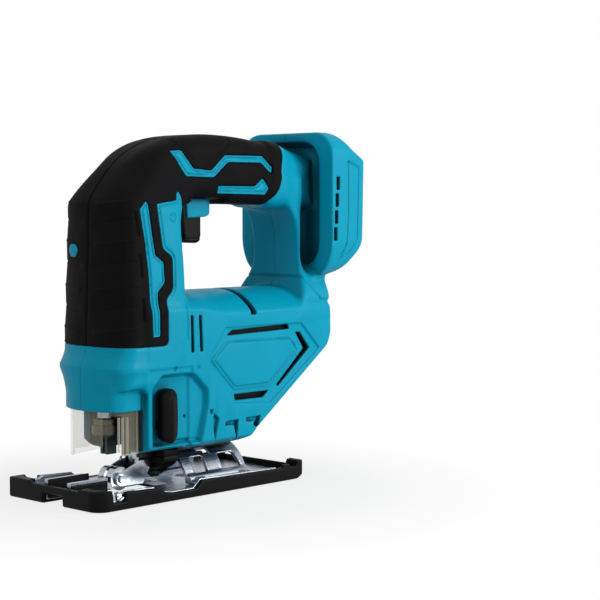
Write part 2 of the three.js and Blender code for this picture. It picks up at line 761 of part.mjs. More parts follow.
function buildGears() {
  const gearRear = gearFrontX + gearWidth;
  // local Z points up at a quarter turn of the outline's own angle
  const down = -Math.PI / 2;
  const up = Math.PI / 2;
  piece(
    rotor, 'pinion', gear(pinionTeeth, gearFrontX - 0.6, gearRear + 0.6, up, shaftRadius + 0.3), steel,
  );
  const halfTooth = Math.PI / gearTeeth;
  piece(crank, 'crank_gear', cut(
    gear(gearTeeth, gearFrontX, gearRear, down + halfTooth, shaftRadius + gap),
    rod('x', 2 + gap, gearFrontX - 5, gearFrontX + 5, pinY, pinZ, 12),
  ), steel);
  piece(
    crank, 'gear_shaft',
    rod('x', shaftRadius, gearFrontX + 1, bulkheadX + bulkheadThickness, 0, 0, 20), steel,
  );
  piece(crank, 'crank_pin_roller', join(
    rod('x', 2, gearFrontX - 4, gearFrontX + 4.6, pinY, pinZ, 12),
    rod('x', 4, yokeRearX + gap, gearFrontX - gap, pinY, pinZ, 20),
  ), steel);
  const weight = cut(
    rod('x', 19, gearFrontX - 4, gearFrontX - gap, 0, 0, 36),
    box(gearFrontX - 10, gearFrontX + 10, -30, 30, -4, 30),
    rod('x', 5, gearFrontX - 10, gearFrontX, pinY, pinZ, 20),
  );
  piece(crank, 'counterweight', weight, darkSteel);
}
buildGears();

// ---------------------------------------------------------------- slider, yoke, blade clamp
function buildSlider() {
  const yokeHalf = 5.9;
  const bladeSlot = box(-1 - 7, 6.5, -0.8, 0.8, 0, collarBottom + 8);
  piece(
    slider, 'slider_rod', cut(rod('z', sliderRadius, collarBottom + 1, rodTop, 0, 0, 20), bladeSlot),
    steel,
  );
  const yoke = join(
    cut(
      box(-5.6, yokeRearX - sliderX - 4, -8, 8, yokeZ - yokeHalf, yokeZ + yokeHalf),
      rod('z', sliderRadius + gap, 0, 200, 0, 0, 20),
    ),
    cut(
      box(
        yokeRearX - sliderX - 4, yokeRearX - sliderX, -yokeHalfWidth, yokeHalfWidth, yokeZ - yokeHalf,
        yokeZ + yokeHalf,
      ),
      box(0, 20, -yokeHalfWidth + 2, yokeHalfWidth - 2, yokeZ - 4.3, yokeZ + 4.3),
    ),
  );
  piece(slider, 'slider_yoke', yoke, darkSteel);
  const clampRadius = 5.8;
  const tooth = box(-1.5, 5, -3, 3, 23.5, collarBottom - 1);
  const clamp = cut(
    join(
      rod('z', clampRadius, collarBottom - 1.4, collarBottom + 7, 0, 0, 20),
      tooth,
      rod('z', clampRadius - 0.6, collarBottom + 6, clampTop, 0, 0, 20),
    ),
    rod('z', sliderRadius + gap, collarBottom + 1 - gap, 90, 0, 0, 20),
    box(-8, 2.6, -0.8, 0.8, 0, collarBottom + 1),
  );
  piece(slider, 'blade_clamp', clamp, castMetal);
  const ring = join(
    tube('z', collarRadius, clampRadius + 0.1, collarBottom, collarBottom + 4.8, 0, 0, 32),
    cut(
      tube('z', collarRadius - 0.7, clampRadius + 0.1, collarBottom + 4.7, clampTop - 0.6, 0, 0, 32),
      box(-12, 12, 2.5, 12, collarBottom + 5.2, clampTop + 1),
    ),
  );
  piece(slider, 'clamp_collar', ring, darkSteel);
}
buildSlider();

// ---------------------------------------------------------------- dust cover
function buildDustCover() {
  const skin = (inset, half, z0, z1) => nosePlan(inset).intersect(box(
    noseFront, guardRear, -half, half, z0, z1,
  ));
  const cover = cut(
    skin(guardInset, guardHalf, guardBottom, guardTop),
    nosePlan(guardInset + guardWall).intersect(
      box(
        noseFront, guardRear + 5, -guardHalf + guardWall, guardHalf - guardWall, guardBottom - 1,
        guardTop + 1,
      ),
    ),
    box(noseFront - 5, sliderX - 4, -17, -9, guardBottom - 5, guardBottom + 12),
  );
  piece(dustCover, 'dust_cover', cover, clear);
}
buildDustCover();

// ---------------------------------------------------------------- roller, its bracket and pin
function buildRollerArm() {
  // two ears outside the roller, joined behind it
  const width = rollerWidth / 2 + gap;
  const thickness = 1.6;
  const ear = (y0) => cut(
    slab([
      ...arc(rollerX, rollerZ, 4, 120, 280, 6),
      [-20.6, rollerZ - 4.4], [-15.8, 14], [armPivotX + 3.2, armPivotZ - 3],
      ...arc(armPivotX, armPivotZ, 3.4, 0, 150, 5),
      [-25.5, 17.6],
    ], y0, y0 + thickness),
    rod('y', 1.6 + gap, -20, 20, rollerX, rollerZ, 16),
  );
  const bridge = box(-27.4, -17.6, -width, width, 8.6, 11.4);
  const hub = rod('y', 3.2, -4.3, 4.3, armPivotX, armPivotZ, 20);
  const web = box(-21, -16.4, -4.3, 4.3, 10, armPivotZ);
  const arms = [ear(-width - thickness), ear(width)].map((plate) =>
    cut(plate, box(-24.5, 0, -60, 60, 18.4, 60)));
  const bracket = cut(
    join(arms, bridge, hub, web),
    rod('y', 2 + gap, -20, 20, armPivotX, armPivotZ, 16),
    rod('y', rollerRadius + 0.7, -width, width, rollerX, rollerZ, 32),
  );
  piece(rollerArm, 'roller_bracket', bracket, steel);
  piece(jigsaw, 'arm_pivot_pin', rod('y', 2, -7.4, 7.4, armPivotX, armPivotZ, 16), steel);
  piece(rollerArm, 'roller_pin', join(
    rod('y', 1.6, -width - thickness - 0.5, width + thickness + 0.5, rollerX, rollerZ, 16),
    rod('y', 2.4, -width - thickness - 1.2, -width - thickness - gap, rollerX, rollerZ, 16),
  ), steel);
  const groove = new THREE.TorusGeometry(rollerRadius + 0.4, 1.2, 6, 24);
  groove.rotateX(Math.PI / 2).translate(rollerX, 0, rollerZ);
  piece(rollerArm, 'blade_roller', cut(
    tube(
      'y', rollerRadius, 1.6 + gap, -rollerWidth / 2, rollerWidth / 2, rollerX, rollerZ, 24,
    ), solid(groove),
  ), steel);
}
buildRollerArm();

// ---------------------------------------------------------------- orbital selector
function buildSelector() {
  const face = -bodyHalf + recessDepth - gap;
  const radius = knobWidth / 2;
  const top = selectorZ + knobLength - 9.4;
  const low = selectorZ - 9.3;
  const stadium = [
    ...arc(selectorX, top - radius, radius, 0, 180, 6),
    ...arc(selectorX, low + radius, radius, 180, 360, 6),
  ];
  const knob = cut(
    slab(stadium, face - knobHeight, face),
    rod('y', 2.6 + gap, face - 6, face + 5, selectorX, selectorZ, 16),
  );
  piece(selector, 'selector_knob', knob, blackPlastic);
  const shaft = cut(
    join(
      rod('y', 2.6, face - 5.6, face + 2, selectorX, selectorZ, 16),
      rod('y', 4, face + 0.6, 9, selectorX, selectorZ, 20),
    ),
    box(selectorX - 5, selectorX + 5, -6, 6, selectorZ - 5, selectorZ - 1.6),
  );
  piece(selector, 'selector_shaft', shaft, steel);
}
buildSelector();

// ---------------------------------------------------------------- shoe
function buildShoe() {
  const plateBottom = coverFloor + gap;
  const plateTop = plateBottom + plateThickness;
  const edge = shoeHalfWidth - coverWall - gap;
  const opening = (extra) => join(
    box(
      shoeFront - 5, slotWideFront + 1, -slotHalfWidth - extra, slotHalfWidth + extra, -5,
      plateTop + 3,
    ),
    box(slotWideFront, slotRear, -slotWideHalf - extra, slotWideHalf + extra, -5, plateTop + 3),
    rod('z', 6 + extra, -5, plateTop + 3, boltX, 0, 24),
  );
  const sheet = (inset, z0, z1) => {
    const x0 = shoeFront + inset;
    const x1 = shoeRear - inset;
    const y = shoeHalfWidth - inset;
    const corner = 9;
    return plan([
      ...arc(x0 + corner, -y + corner, corner, 180, 270, 4),
      ...arc(x1 - corner, -y + corner, corner, 270, 360, 4),
      ...arc(x1 - corner, y - corner, corner, 0, 90, 4),
      ...arc(x0 + corner, y - corner, corner, 90, 180, 4),
    ], z0, z1);
  };
  const rivetSpots = [-1, 1].flatMap((side) => [archFront + 6, archRear - 6].map((x) => [
    x, side * (archRadius + 2.8),
  ]));
  const plateHoles = rivetSpots.map(([x, y]) => rod('z', 1.8 + gap, -5, 15, x, y, 12));
  const ribs = [-1, 1].map((side) => {
    const y0 = side > 0 ? slotHalfWidth : -slotHalfWidth - guideRibWidth;
    return box(
      shoeFront + coverWall + gap + 1, slotWideFront - 3, y0, y0 + guideRibWidth, plateBottom,
      guideRibHeight,
    );
  });
  const plate = cut(
    join(cut(sheet(coverWall + gap, plateBottom, plateTop), opening(0)), ribs), plateHoles,
  );
  piece(shoe, 'base_plate', plate, steel);

  // black cover: a floor under the plate and a rim round it, with its top edge stepped along the sides
  const rimTop = [
    [shoeFront - 5, coverRimFront], [shoeFront + 12, coverRimFront], [shoeFront + 16, coverRimHigh],
    [-36, coverRimHigh - 0.8], [-28, coverRimLow], [-9, coverRimLow], [-3, coverRimHigh],
    [shoeRear - 8, coverRimHigh - 0.6],
    [shoeRear - 6, coverRimFront], [shoeRear + 5, coverRimFront - 1],
  ];
  const profile = slab([[shoeFront - 5, -1], ...rimTop, [shoeRear + 5, -1]].reverse(), -60, 60);
  const rim = cut(sheet(0, 0, 20), sheet(coverWall, coverFloor, 25)).intersect(profile);
  const notch = box(shoeFront - 5, shoeFront + coverWall + 3, -8.5, 8.5, -1, 5.8);
  const frontBar = box(shoeFront, shoeFront + coverWall + 0.6, -16, 16, 5.8, 9.8);
  const tabWindow = [-1, 1].map((side) => box(-67.7, -59.5, side * 38 - 3, side * 38 + 3, 7, 9.6));
  const cover = cut(
    join(cut(rim, notch), frontBar),
    opening(0.6).intersect(box(shoeFront + coverWall, 60, -60, 60, -6, coverFloor + 0.2)),
    box(shoeFront - 5, shoeFront + coverWall + 1, -slotHalfWidth, slotHalfWidth, -1, 5.8),
    tabWindow,
  );
  piece(shoe, 'shoe_cover', cover, blackPlastic);

  // arch that the body tilts on, with feet riveted to the plate
  const inner = archRadius - archWall;
  const footTop = plateTop + gap + archWall;
  const ring = cut(
    rod('x', archRadius, archFront, archRear, 0, 0, 40),
    rod('x', inner, archFront - 1, archRear + 1, 0, 0, 40),
  ).intersect(box(-50, 80, -40, 40, plateTop + gap, 40));
  const feet = [-1, 1].map((side) => {
    const y0 = side > 0 ? inner + 0.6 : -inner - 0.6 - archFootWidth;
    return box(archFront, archRear, y0, y0 + archFootWidth, plateTop + gap, footTop);
  });
  const boltSlot = box(boltX - boltRadius - 0.8, boltX + boltRadius + 0.8, -16.5, 16.5, 15, 40);
  const lighten = [-1, 1].flatMap((side) => [[7, 13], [27.5, 39]].map(([x0, x1]) => {
    const y0 = side > 0 ? 17 : -30;
    return box(x0, x1, y0, y0 + 13, 10.5, 19);
  }));
  const arch = cut(join(ring, feet), boltSlot, lighten, plateHoles);
  piece(shoe, 'base_arch', arch, steel);
  rivetSpots.forEach(([x, y], i) => {
    const shank = rod('z', 1.8, plateBottom + 0.2, footTop + gap + 0.4, x, y, 12);
    const head = rod('z', 3, footTop + gap, footTop + gap + 1, x, y, 12);
    piece(shoe, `arch_rivet_${i + 1}`, join(shank, head), steel);
  });

  // bolt and curved plate that clamp the arch to the gear housing
  const clampPlate = cut(
    rod('x', inner - gap, boltX - 11, boltX + 11, 0, 0, 40),
    rod('x', inner - gap - 3, boltX - 12, boltX + 12, 0, 0, 40),
  ).intersect(box(0, 60, -4.5, 4.5, 10, 40));
  piece(
    jigsaw, 'clamp_plate', cut(clampPlate, rod('z', boltRadius + gap, 10, 40, boltX, 0, 16)), steel,
  );
  const underPlate = inner - gap - 3.5;
  piece(jigsaw, 'clamp_bolt', join(
    rod('z', boltRadius, underPlate - 2, 35.4, boltX, 0, 16),
    rod('z', 5, underPlate - 4.6, underPlate - gap, boltX, 0, 6),
  ), darkSteel);
}
buildShoe();

export default jigsaw;
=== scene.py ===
import math
import bpy
import numpy as np
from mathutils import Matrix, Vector


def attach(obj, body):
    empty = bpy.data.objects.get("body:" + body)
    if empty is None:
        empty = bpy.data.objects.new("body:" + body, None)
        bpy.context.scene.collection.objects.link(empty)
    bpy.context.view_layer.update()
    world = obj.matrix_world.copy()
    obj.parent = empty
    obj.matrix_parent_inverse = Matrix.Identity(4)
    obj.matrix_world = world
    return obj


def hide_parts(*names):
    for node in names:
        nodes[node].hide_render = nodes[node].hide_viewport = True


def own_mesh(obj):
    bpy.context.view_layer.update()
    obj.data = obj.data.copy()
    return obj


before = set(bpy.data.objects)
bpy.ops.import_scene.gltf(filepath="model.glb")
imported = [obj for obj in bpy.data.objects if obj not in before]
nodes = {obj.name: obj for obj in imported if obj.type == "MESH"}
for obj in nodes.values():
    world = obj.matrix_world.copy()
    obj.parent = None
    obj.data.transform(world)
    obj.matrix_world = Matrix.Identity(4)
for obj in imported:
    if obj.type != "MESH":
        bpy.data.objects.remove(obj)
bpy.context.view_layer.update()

MM = 0.001

# ------------------------------------------------ places shared by pieces, in millimetres
# X runs from the blade's end to the battery mount, Y to the tool's right, Z up from the shoe's sole
FORM_REAR = 129.7
FORM_TOP = 203.2
SELECTOR_X = -21.3
SELECTOR_Z = 39.5
ROD_X = -40.8
BOLT_X = 18
NOSE_FRONT, NOSE_HALF, NOSE_BOW, NOSE_CORNER = -58.1, 23.6, 8.0, 5.0
SHOE_MIDDLE, SHOE_HALF_LENGTH, SHOE_HALF_WIDTH = -1, 77, 38.5
TRIGGER_WELL = (9.0, 31.9, -5, 7.4, 135, 175.1)
SIDES = ((-1, "left"), (1, "right"))

# ------------------------------------------------ camera, fitted to the photo
AZIMUTH = math.radians(46.5302)
ELEVATION = math.radians(3.4438)
CAMERA_PLACE = (-0.599468, -0.676163, 0.160317)
LENS = 96


def build_camera():
    """The camera that matches the photo's view."""
    camera = bpy.data.objects.new("Camera", bpy.data.cameras.new("Camera"))
    camera.data.lens = LENS
    camera.data.sensor_width = 36
    camera.data.clip_start = 0.05
    camera.location = CAMERA_PLACE
    level = math.cos(ELEVATION)
    forward = Vector((math.sin(AZIMUTH) * level, math.cos(AZIMUTH) * level, -math.sin(ELEVATION)))
    camera.rotation_euler = forward.to_track_quat("-Z", "Y").to_euler()
    bpy.context.scene.collection.objects.link(camera)
    bpy.context.scene.camera = camera


build_camera()


# ------------------------------------------------ outlines
CORNER_STEPS = 7
CORNER_SHARE = 0.48
FAR_AWAY = 1e9
TINY = 1e-9


def rounded(points, radius):
    """An outline with its corners rounded; radius is one number, or one for each corner."""
    p = [np.array(q, dtype=float) for q in points]
    radii = [radius] * len(p) if np.isscalar(radius) else radius
    out = []
    for i, tip in enumerate(p):
        before, after = p[i - 1] - tip, p[(i + 1) % len(p)] - tip
        back, ahead = np.linalg.norm(before), np.linalg.norm(after)
        reach = min(radii[i], CORNER_SHARE * back, CORNER_SHARE * ahead)
        a = tip + before / back * reach
        b = tip + after / ahead * reach
        for t in np.linspace(0, 1, CORNER_STEPS):
            out.append((1 - t) ** 2 * a + 2 * t * (1 - t) * tip + t * t * b)
    return out


def to_segment(a, b, u, v):
    """Squared distance to the straight line from a to b."""
    e0, e1 = b - a
    t = np.clip(((u - a[0]) * e0 + (v - a[1]) * e1) / max(e0 * e0 + e1 * e1, TINY), 0, 1)
    return (u - a[0] - e0 * t) ** 2 + (v - a[1] - e1 * t) ** 2


def area(points, u, v):
    """Signed distance to a closed outline."""
    p = np.array(points, dtype=np.float32)
    best = np.full(np.broadcast(u, v).shape, FAR_AWAY, dtype=np.float32)
    inside = np.zeros(best.shape, dtype=bool)
    for a, b in zip(p, np.roll(p, -1, axis=0)):
        best = np.minimum(best, to_segment(a, b, u, v))
        e0, e1 = b - a
        if abs(e1) > TINY:
            inside ^= ((a[1] > v) != (b[1] > v)) & (u < e0 * (v - a[1]) / e1 + a[0])
    return np.where(inside, -1, 1).astype(np.float32) * np.sqrt(best)


def trail(points, u, v):
    """Distance to an open run of points."""
    p = np.array(points, dtype=np.float32)
    best = np.full(np.broadcast(u, v).shape, FAR_AWAY, dtype=np.float32)
    for a, b in zip(p[:-1], p[1:]):
        best = np.minimum(best, to_segment(a, b, u, v))
    return np.sqrt(best)


# ------------------------------------------------ fields: negative inside a solid
def union(a, b, k):
    """Union with a fillet of size k."""
    h = np.maximum(k - np.abs(a - b), 0) / k
    return np.minimum(a, b) - h * h * (k / 4)


def common(a, b, k):
    """Intersection with a rounded edge of size k."""
    h = np.maximum(k - np.abs(a - b), 0) / k
    return np.maximum(a, b) + h * h * (k / 4)


def without(a, b, k):
    """a with b cut out of it, its rim rounded by k."""
    return common(a, -b, k)


def corner(a, b, radius):
    """Two faces that meet at a right angle, with a rounded edge; a and b are the distances to them."""
    a, b = a + radius, b + radius
    return np.minimum(np.maximum(a, b), 0) + np.hypot(np.maximum(a, 0), np.maximum(b, 0)) - radius


def ramp(low, high, v):
    """Smoothly 0 to 1 as v goes from low to high."""
    t = np.clip((v - low) / (high - low), 0, 1)
    return t * t * (3 - 2 * t)


def line(distance, width, depth):
    """A shallow rounded groove along a trail, as a change of the field."""
    return depth * np.exp(-((distance / width) ** 2))


class Grid:
    """A block of space, in millimetres, that fields are worked out on."""

    def __init__(self, x, y, z, step):
        self.step = step * 1.0
        self.origin = np.array([x[0], y[0], z[0]], dtype=np.float64)
        ax, ay, az = (np.arange(a, b, self.step, dtype=np.float32) for a, b in (x, y, z))
        self.x, self.y, self.z = ax[:, None, None], ay[None, :, None], az[None, None, :]

    def block(self, x0, x1, y0, y1, z0, z1):
        """A box between two corners."""
        dx = np.abs(self.x - (x0 + x1) / 2) - (x1 - x0) / 2
        dy = np.abs(self.y - (y0 + y1) / 2) - (y1 - y0) / 2
        dz = np.abs(self.z - (z0 + z1) / 2) - (z1 - z0) / 2
        return np.maximum(np.maximum(dx, dy), dz)

    def plate(self, flat, half, edge, power=2.0):
        """An outline's distance made a plate about the middle plane, with rounded edges."""
        a, b = flat + edge, np.abs(self.y) - half + edge
        bend = (np.maximum(a, 0) ** power + np.maximum(b, 0) ** power) ** (1 / power)
        return np.minimum(np.maximum(a, b), 0) + bend - edge

    def surface(self, field):
        """Surface-nets mesh of a field: points, and quads that face out."""
        shape = field.shape
        inside = field < 0
        strides = ((shape[1] - 1) * (shape[2] - 1), shape[2] - 1, 1)
        quads, places = [], []
        for ax in range(3):
            lower, upper = [slice(None)] * 3, [slice(None)] * 3
            lower[ax], upper[ax] = slice(None, -1), slice(1, None)
            lower, upper = tuple(lower), tuple(upper)
            idx = np.argwhere(inside[lower] != inside[upper])
            at = tuple(idx.T)
            f0, f1 = field[lower][at], field[upper][at]
            place = idx.astype(np.float64)
            place[:, ax] += f0 / (f0 - f1)
            u, v = (ax + 1) % 3, (ax + 2) % 3
            around, good = [], np.ones(len(idx), dtype=bool)
            for du, dv in ((-1, -1), (0, -1), (0, 0), (-1, 0)):
                cell = idx.copy()
                cell[:, u] += du
                cell[:, v] += dv
                good &= np.all((cell >= 0) & (cell < np.array(shape) - 1), axis=1)
                around.append(cell @ np.array(strides))
            around = np.stack(around, axis=1)[good]
            flip = ~inside[lower][at][good]
            around[flip] = around[flip][:, ::-1]
            quads.append(around)
            places.append(np.repeat(place[good], 4, axis=0))
        quads, places = np.concatenate(quads), np.concatenate(places)
        unique, where = np.unique(quads.ravel(), return_inverse=True)
        where = where.ravel()
        count = np.bincount(where)
        points = np.stack([np.bincount(where, weights=places[:, k]) / count for k in range(3)], axis=1)
        return points * self.step + self.origin, where.reshape(quads.shape)


# ------------------------------------------------ meshes
def link(name, mesh, finish, body, stands_for=()):
    """Puts a mesh in the scene as a piece on a body."""
    mesh.materials.append(finish)
    obj = bpy.data.objects.new(name, mesh)
    bpy.context.scene.collection.objects.link(obj)
    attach(obj, body)
    if stands_for:
        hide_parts(*stands_for)
    return obj


def smooth(mesh):
    """Shades every face of a mesh smooth."""
    mesh.polygons.foreach_set("use_smooth", np.ones(len(mesh.polygons), dtype=bool))


def mesh_of(name, points, faces):
    """A mesh of points in millimetres and faces that all have as many corners."""
    mesh = bpy.data.meshes.new(name)
    mesh.vertices.add(len(points))
    mesh.vertices.foreach_set("co", (np.asarray(points) * MM).astype(np.float32).ravel())
    size = faces.shape[1]
    mesh.loops.add(faces.size)
    mesh.loops.foreach_set("vertex_index", faces.astype(np.int32).ravel())
    mesh.polygons.add(len(faces))
    mesh.polygons.foreach_set("loop_start", np.arange(0, faces.size, size, dtype=np.int32))
    mesh.update(calc_edges=True)
    return mesh


def thinned(mesh, keep):
    """A copy of a mesh with that share of its faces, fewest where it is flat."""
    holder = bpy.data.objects.new("holder", mesh)
    bpy.context.scene.collection.objects.link(holder)
    holder.modifiers.new("thin", "DECIMATE").ratio = keep
    deps = bpy.context.evaluated_depsgraph_get()
    result = bpy.data.meshes.new_from_object(holder.evaluated_get(deps))
    bpy.data.objects.remove(holder)
    bpy.data.meshes.remove(mesh)
    return result


def sculpted(name, grid, field, keep, side=1):
    """A mesh of a field, thinned to a share of its faces; side -1 mirrors it to the tool's left."""
    points, quads = grid.surface(field)
    points[:, 1] *= side
    mesh = mesh_of(name, points, quads if side > 0 else quads[:, ::-1])
    mesh = thinned(mesh, keep)
    mesh.name = name
    smooth(mesh)
    return mesh


# ------------------------------------------------ materials
# reach, samples and depth of the painted shade in hollows
HOLLOW_REACH = 0.018
HOLLOW_SAMPLES = 8
PAINTED_SHADE_LEVEL = 0.25
GRAIN_HEIGHT = 0.0003
BRUSH_HEIGHT = 0.0002
RIPPLE_HEIGHT = 0.0004


def colour(r, g, b):
    """sRGB, 0 to 255, as linear."""
    def one(c):
        c /= 255
        return c / 12.92 if c <= 0.04045 else ((c + 0.055) / 1.055) ** 2.4
    return one(r), one(g), one(b), 1.0


class Nodes:
    """A material's node tree, with short calls for the nodes used here."""

    def __init__(self, name):
        self.material = bpy.data.materials.new(name)
        self.material.use_nodes = True
        self.tree = self.material.node_tree
        self.shader = self.tree.nodes["Principled BSDF"]

    def add(self, kind, **inputs):
        """A node with some of its inputs set."""
        node = self.tree.nodes.new(kind)
        for key, value in inputs.items():
            node.inputs[key.replace("_", " ")].default_value = value
        return node

    def wire(self, a, b):
        """Links an output to an input."""
        self.tree.links.new(a, b)
        return b

    def place(self, stretch=(1, 1, 1)):
        """Object coordinates, stretched along the axes."""
        where = self.add("ShaderNodeTexCoord")
        mapping = self.add("ShaderNodeMapping", Scale=stretch)
        self.wire(where.outputs["Object"], mapping.inputs["Vector"])
        return mapping.outputs["Vector"]

    def noise(self, vector, scale, detail):
        """Soft random mottling, 0 to 1."""
        n = self.add("ShaderNodeTexNoise", Scale=scale, Detail=detail)
        self.wire(vector, n.inputs["Vector"])
        return n.outputs["Fac"]

    def blend(self, factor, a, b):
        """A mix of two colours, each a value or a socket."""
        mix = self.tree.nodes.new("ShaderNodeMix")
        mix.data_type = "RGBA"
        self.wire(factor, mix.inputs[0])
        for slot, value in ((6, a), (7, b)):
            if isinstance(value, tuple):
                mix.inputs[slot].default_value = value
            else:
                self.wire(value, mix.inputs[slot])
        return mix.outputs[2]

    def span(self, value, low, high, to_low=0.0, to_high=1.0):
        """A value's range, low to high, laid over another range."""
        node = self.add("ShaderNodeMapRange", From_Min=low, From_Max=high, To_Min=to_low, To_Max=to_high)
        self.wire(value, node.inputs["Value"])
        return node.outputs["Result"]

    def bump(self, height, strength, distance):
        """Relief of the surface in the shader only."""
        node = self.add("ShaderNodeBump", Strength=strength, Distance=distance)
        self.wire(height, node.inputs["Height"])
        self.wire(node.outputs["Normal"], self.shader.inputs["Normal"])


def moulded(name, base, tint, worn, rough, grain=2600.0, bump=0.15, specular=0.5):
    """Moulded plastic or rubber: slight mottling, spark-eroded grain, paler edges, and painted shade that
    darkens hollows and creases.
    """
    n = Nodes(name)
    where = n.place()
    broad, fine = n.noise(where, 55.0, 4.0), n.noise(where, grain, 2.0)
    shade = n.blend(broad, base, tint)
    edge = n.add("ShaderNodeNewGeometry")
    amount = n.span(edge.outputs["Pointiness"], 0.53, 0.66, 0.0, 0.5)
    shade = n.blend(amount, shade, worn)
    # painted shade: ambient occlusion darkens the base colour in hollows, creases and under parts,
    # standing in for their shadow
    hollow = n.add("ShaderNodeAmbientOcclusion", Distance=HOLLOW_REACH)
    hollow.samples = HOLLOW_SAMPLES
    open_share = n.span(hollow.outputs["AO"], 0.35, 0.9)
    dark = tuple(c * PAINTED_SHADE_LEVEL for c in base[:3]) + (1.0,)
    n.wire(n.blend(open_share, dark, shade), n.shader.inputs["Base Color"])
    n.wire(n.span(broad, 0.3, 0.7, rough - 0.06, rough + 0.06), n.shader.inputs["Roughness"])
    n.shader.inputs["Specular IOR Level"].default_value = specular
    n.bump(fine, bump, GRAIN_HEIGHT)
    return n.material


def metal(name, base, tint, rough, stretch=(1, 1, 1), grain=900.0, bump=0.1, metallic=1.0):
    """Bare or plated metal: brushed or cast grain, patchy sheen."""
    n = Nodes(name)
    where = n.place(stretch)
    broad, fine = n.noise(n.place(), 70.0, 4.0), n.noise(where, grain, 3.0)
    n.wire(n.blend(broad, base, tint), n.shader.inputs["Base Color"])
    n.wire(n.span(fine, 0.25, 0.75, rough * 0.7, rough * 1.3), n.shader.inputs["Roughness"])
    n.shader.inputs["Metallic"].default_value = metallic
    n.bump(fine, bump, BRUSH_HEIGHT)
    return n.material


def clear_plastic(name, base, tint, alpha):
    """Thin clear moulding with a cream cast."""
    n = Nodes(name)
    where = n.place()
    broad = n.noise(where, 90.0, 3.0)
    n.wire(n.blend(broad, base, tint), n.shader.inputs["Base Color"])
    n.wire(n.span(broad, 0.3, 0.7, 0.08, 0.2), n.shader.inputs["Roughness"])
    n.shader.inputs["Alpha"].default_value = alpha
    n.bump(n.noise(where, 300.0, 2.0), 0.08, RIPPLE_HEIGHT)
    return n.material


ALONG_X = (0.05, 1, 1)
TEAL = moulded(
    "teal_plastic", colour(0, 146, 176), colour(2, 153, 184), colour(46, 182, 208), 0.42,
    bump=0.1, specular=0.08,
)
RUBBER = moulded(
    "rubber", colour(11, 11, 12), colour(15, 15, 17), colour(34, 33, 36), 0.62,
    grain=3200.0, bump=0.3, specular=0.04,
)
BLACK = moulded(
    "black_plastic", colour(8, 8, 9), colour(12, 12, 13), colour(36, 36, 39), 0.46, specular=0.08,
)
CHROME = metal("chrome", colour(190, 196, 202), colour(170, 176, 184), 0.16, bump=0.03)
ZINC = metal("zinc", colour(172, 178, 188), colour(138, 146, 158), 0.28, stretch=ALONG_X)
STEEL = metal("steel", colour(180, 184, 190), colour(160, 165, 172), 0.28, bump=0.06)
DARK_STEEL = metal("dark_steel", colour(112, 106, 96), colour(78, 73, 66), 0.36)
CAST = metal(
    "cast_metal", colour(42, 44, 47), colour(30, 32, 34), 0.5, grain=1400.0, bump=0.4, metallic=0.7,
)
COPPER = metal(
    "copper", colour(184, 108, 62), colour(150, 80, 42), 0.35,
    stretch=ALONG_X, grain=2200.0, bump=0.5,
)
BRONZE = metal("bronze", colour(156, 118, 66), colour(132, 98, 52), 0.4)
BOARD = moulded("circuit_board", colour(22, 78, 48), colour(28, 92, 56), colour(60, 130, 84), 0.35)
CLEAR = clear_plastic("clear_plastic", colour(206, 200, 170), colour(192, 188, 160), 0.13)
CLEAR_RIB = clear_plastic("clear_rib", colour(214, 212, 196), colour(196, 196, 182), 0.4)
PAINTED = metal("painted_steel", colour(36, 64, 64), colour(26, 50, 52), 0.42, metallic=0.3)

# ------------------------------------------------ housing: outer form
# the right half only, which the left half mirrors
g = Grid((-60.5, 131.5), (-1.6, 40.4), (21.0, 205.5), 0.55)
half_width = np.clip(g.y, 0, None)
side_gate = ramp(10, 16, g.y)


def bowed(flat, bow):
    """A field of x and z read with its front pulled back by bow, which grows with y."""
    at = np.clip((g.x - bow - g.x[0]) / g.step, 0, flat.shape[0] - 1.001)[:, :, 0]
    low = at.astype(int)
    t = (at - low)[:, :, None]
    rows = flat[:, 0, :]
    return (rows[low] * (1 - t) + rows[low + 1] * t).astype(np.float32)


HANDLE_HALF = 19.4
COLUMN_WIDENING = 9.4
BODY_HALF = 28.9
DECK_TOP = 111.2
POST_HALF = 19.8


def grip_form():
    """Column and handle in one: a plate whose half width and edges change along it."""
    arch = rounded([
        (-54.6, 60), (-53.9, 82), (-51.8, 146), (-51.5, 161), (-45.7, 169.6), (-37.4, 179.4),
        (-26.6, 188.2), (-13.1, 194.3), (0, 197.6), (21, 199.6), (46, 198.9), (71, 195.7), (86, 191.6),
        (108, 188), (108, 158), (90, 158.5), (66, 160.3), (35.4, 160.4), (33.4, 163.3), (9, 163.4),
        (7.4, 160.4), (-1.5, 158.2), (-4.6, 148), (-3.2, 113), (-3.6, 60),
    ], [0, 30, 30, 3, 6, 8, 8, 10, 20, 30, 40, 30, 20, 0, 0, 10, 30, 1, 1, 1, 1, 5, 12, 30, 0])
    column = 1 - ramp(-38, -10, g.x)
    flat = bowed(area(arch, g.x, g.z), 6.6 * (half_width / 28) ** 2.2 * column)
    wide = 1 - ramp(-22, 20, g.x + 0.45 * (g.z - 160))
    high = ramp(156, 184, g.z)
    half = HANDLE_HALF + (COLUMN_WIDENING - 1.6 * ramp(84, 160, g.z) - 4.6 * high) * wide
    edge = 8.5 + 2.5 * high - 3.0 * column * (1 - high) + 4.5 * column * high
    return g.plate(flat, half, edge, 2.2)


def body_form():
    """The motor's housing, with a crowned deck under the hand."""
    side = rounded([
        (-35, 24.2), (38, 24.4), (42, 26.2), (49.3, 32.8), (107.2, 75.5), (110.9, 82.5), (111.5, 92),
        (111.5, 130), (-35, 130),
    ], [2, 2, 3, 3, 2, 3, 4, 0, 0])
    half = BODY_HALF + 0.6 * ramp(0, 30, g.x)
    body = g.plate(area(side, g.x, g.z), half, 1.8, 2.0)
    deck = DECK_TOP - 11.4 * (half_width / BODY_HALF) ** 2.6
    deck = deck + 2.5 * (1 - ramp(4, 22, g.x)) * half_width / BODY_HALF
    return common(body, (g.z - deck) * 0.9, 1.0)


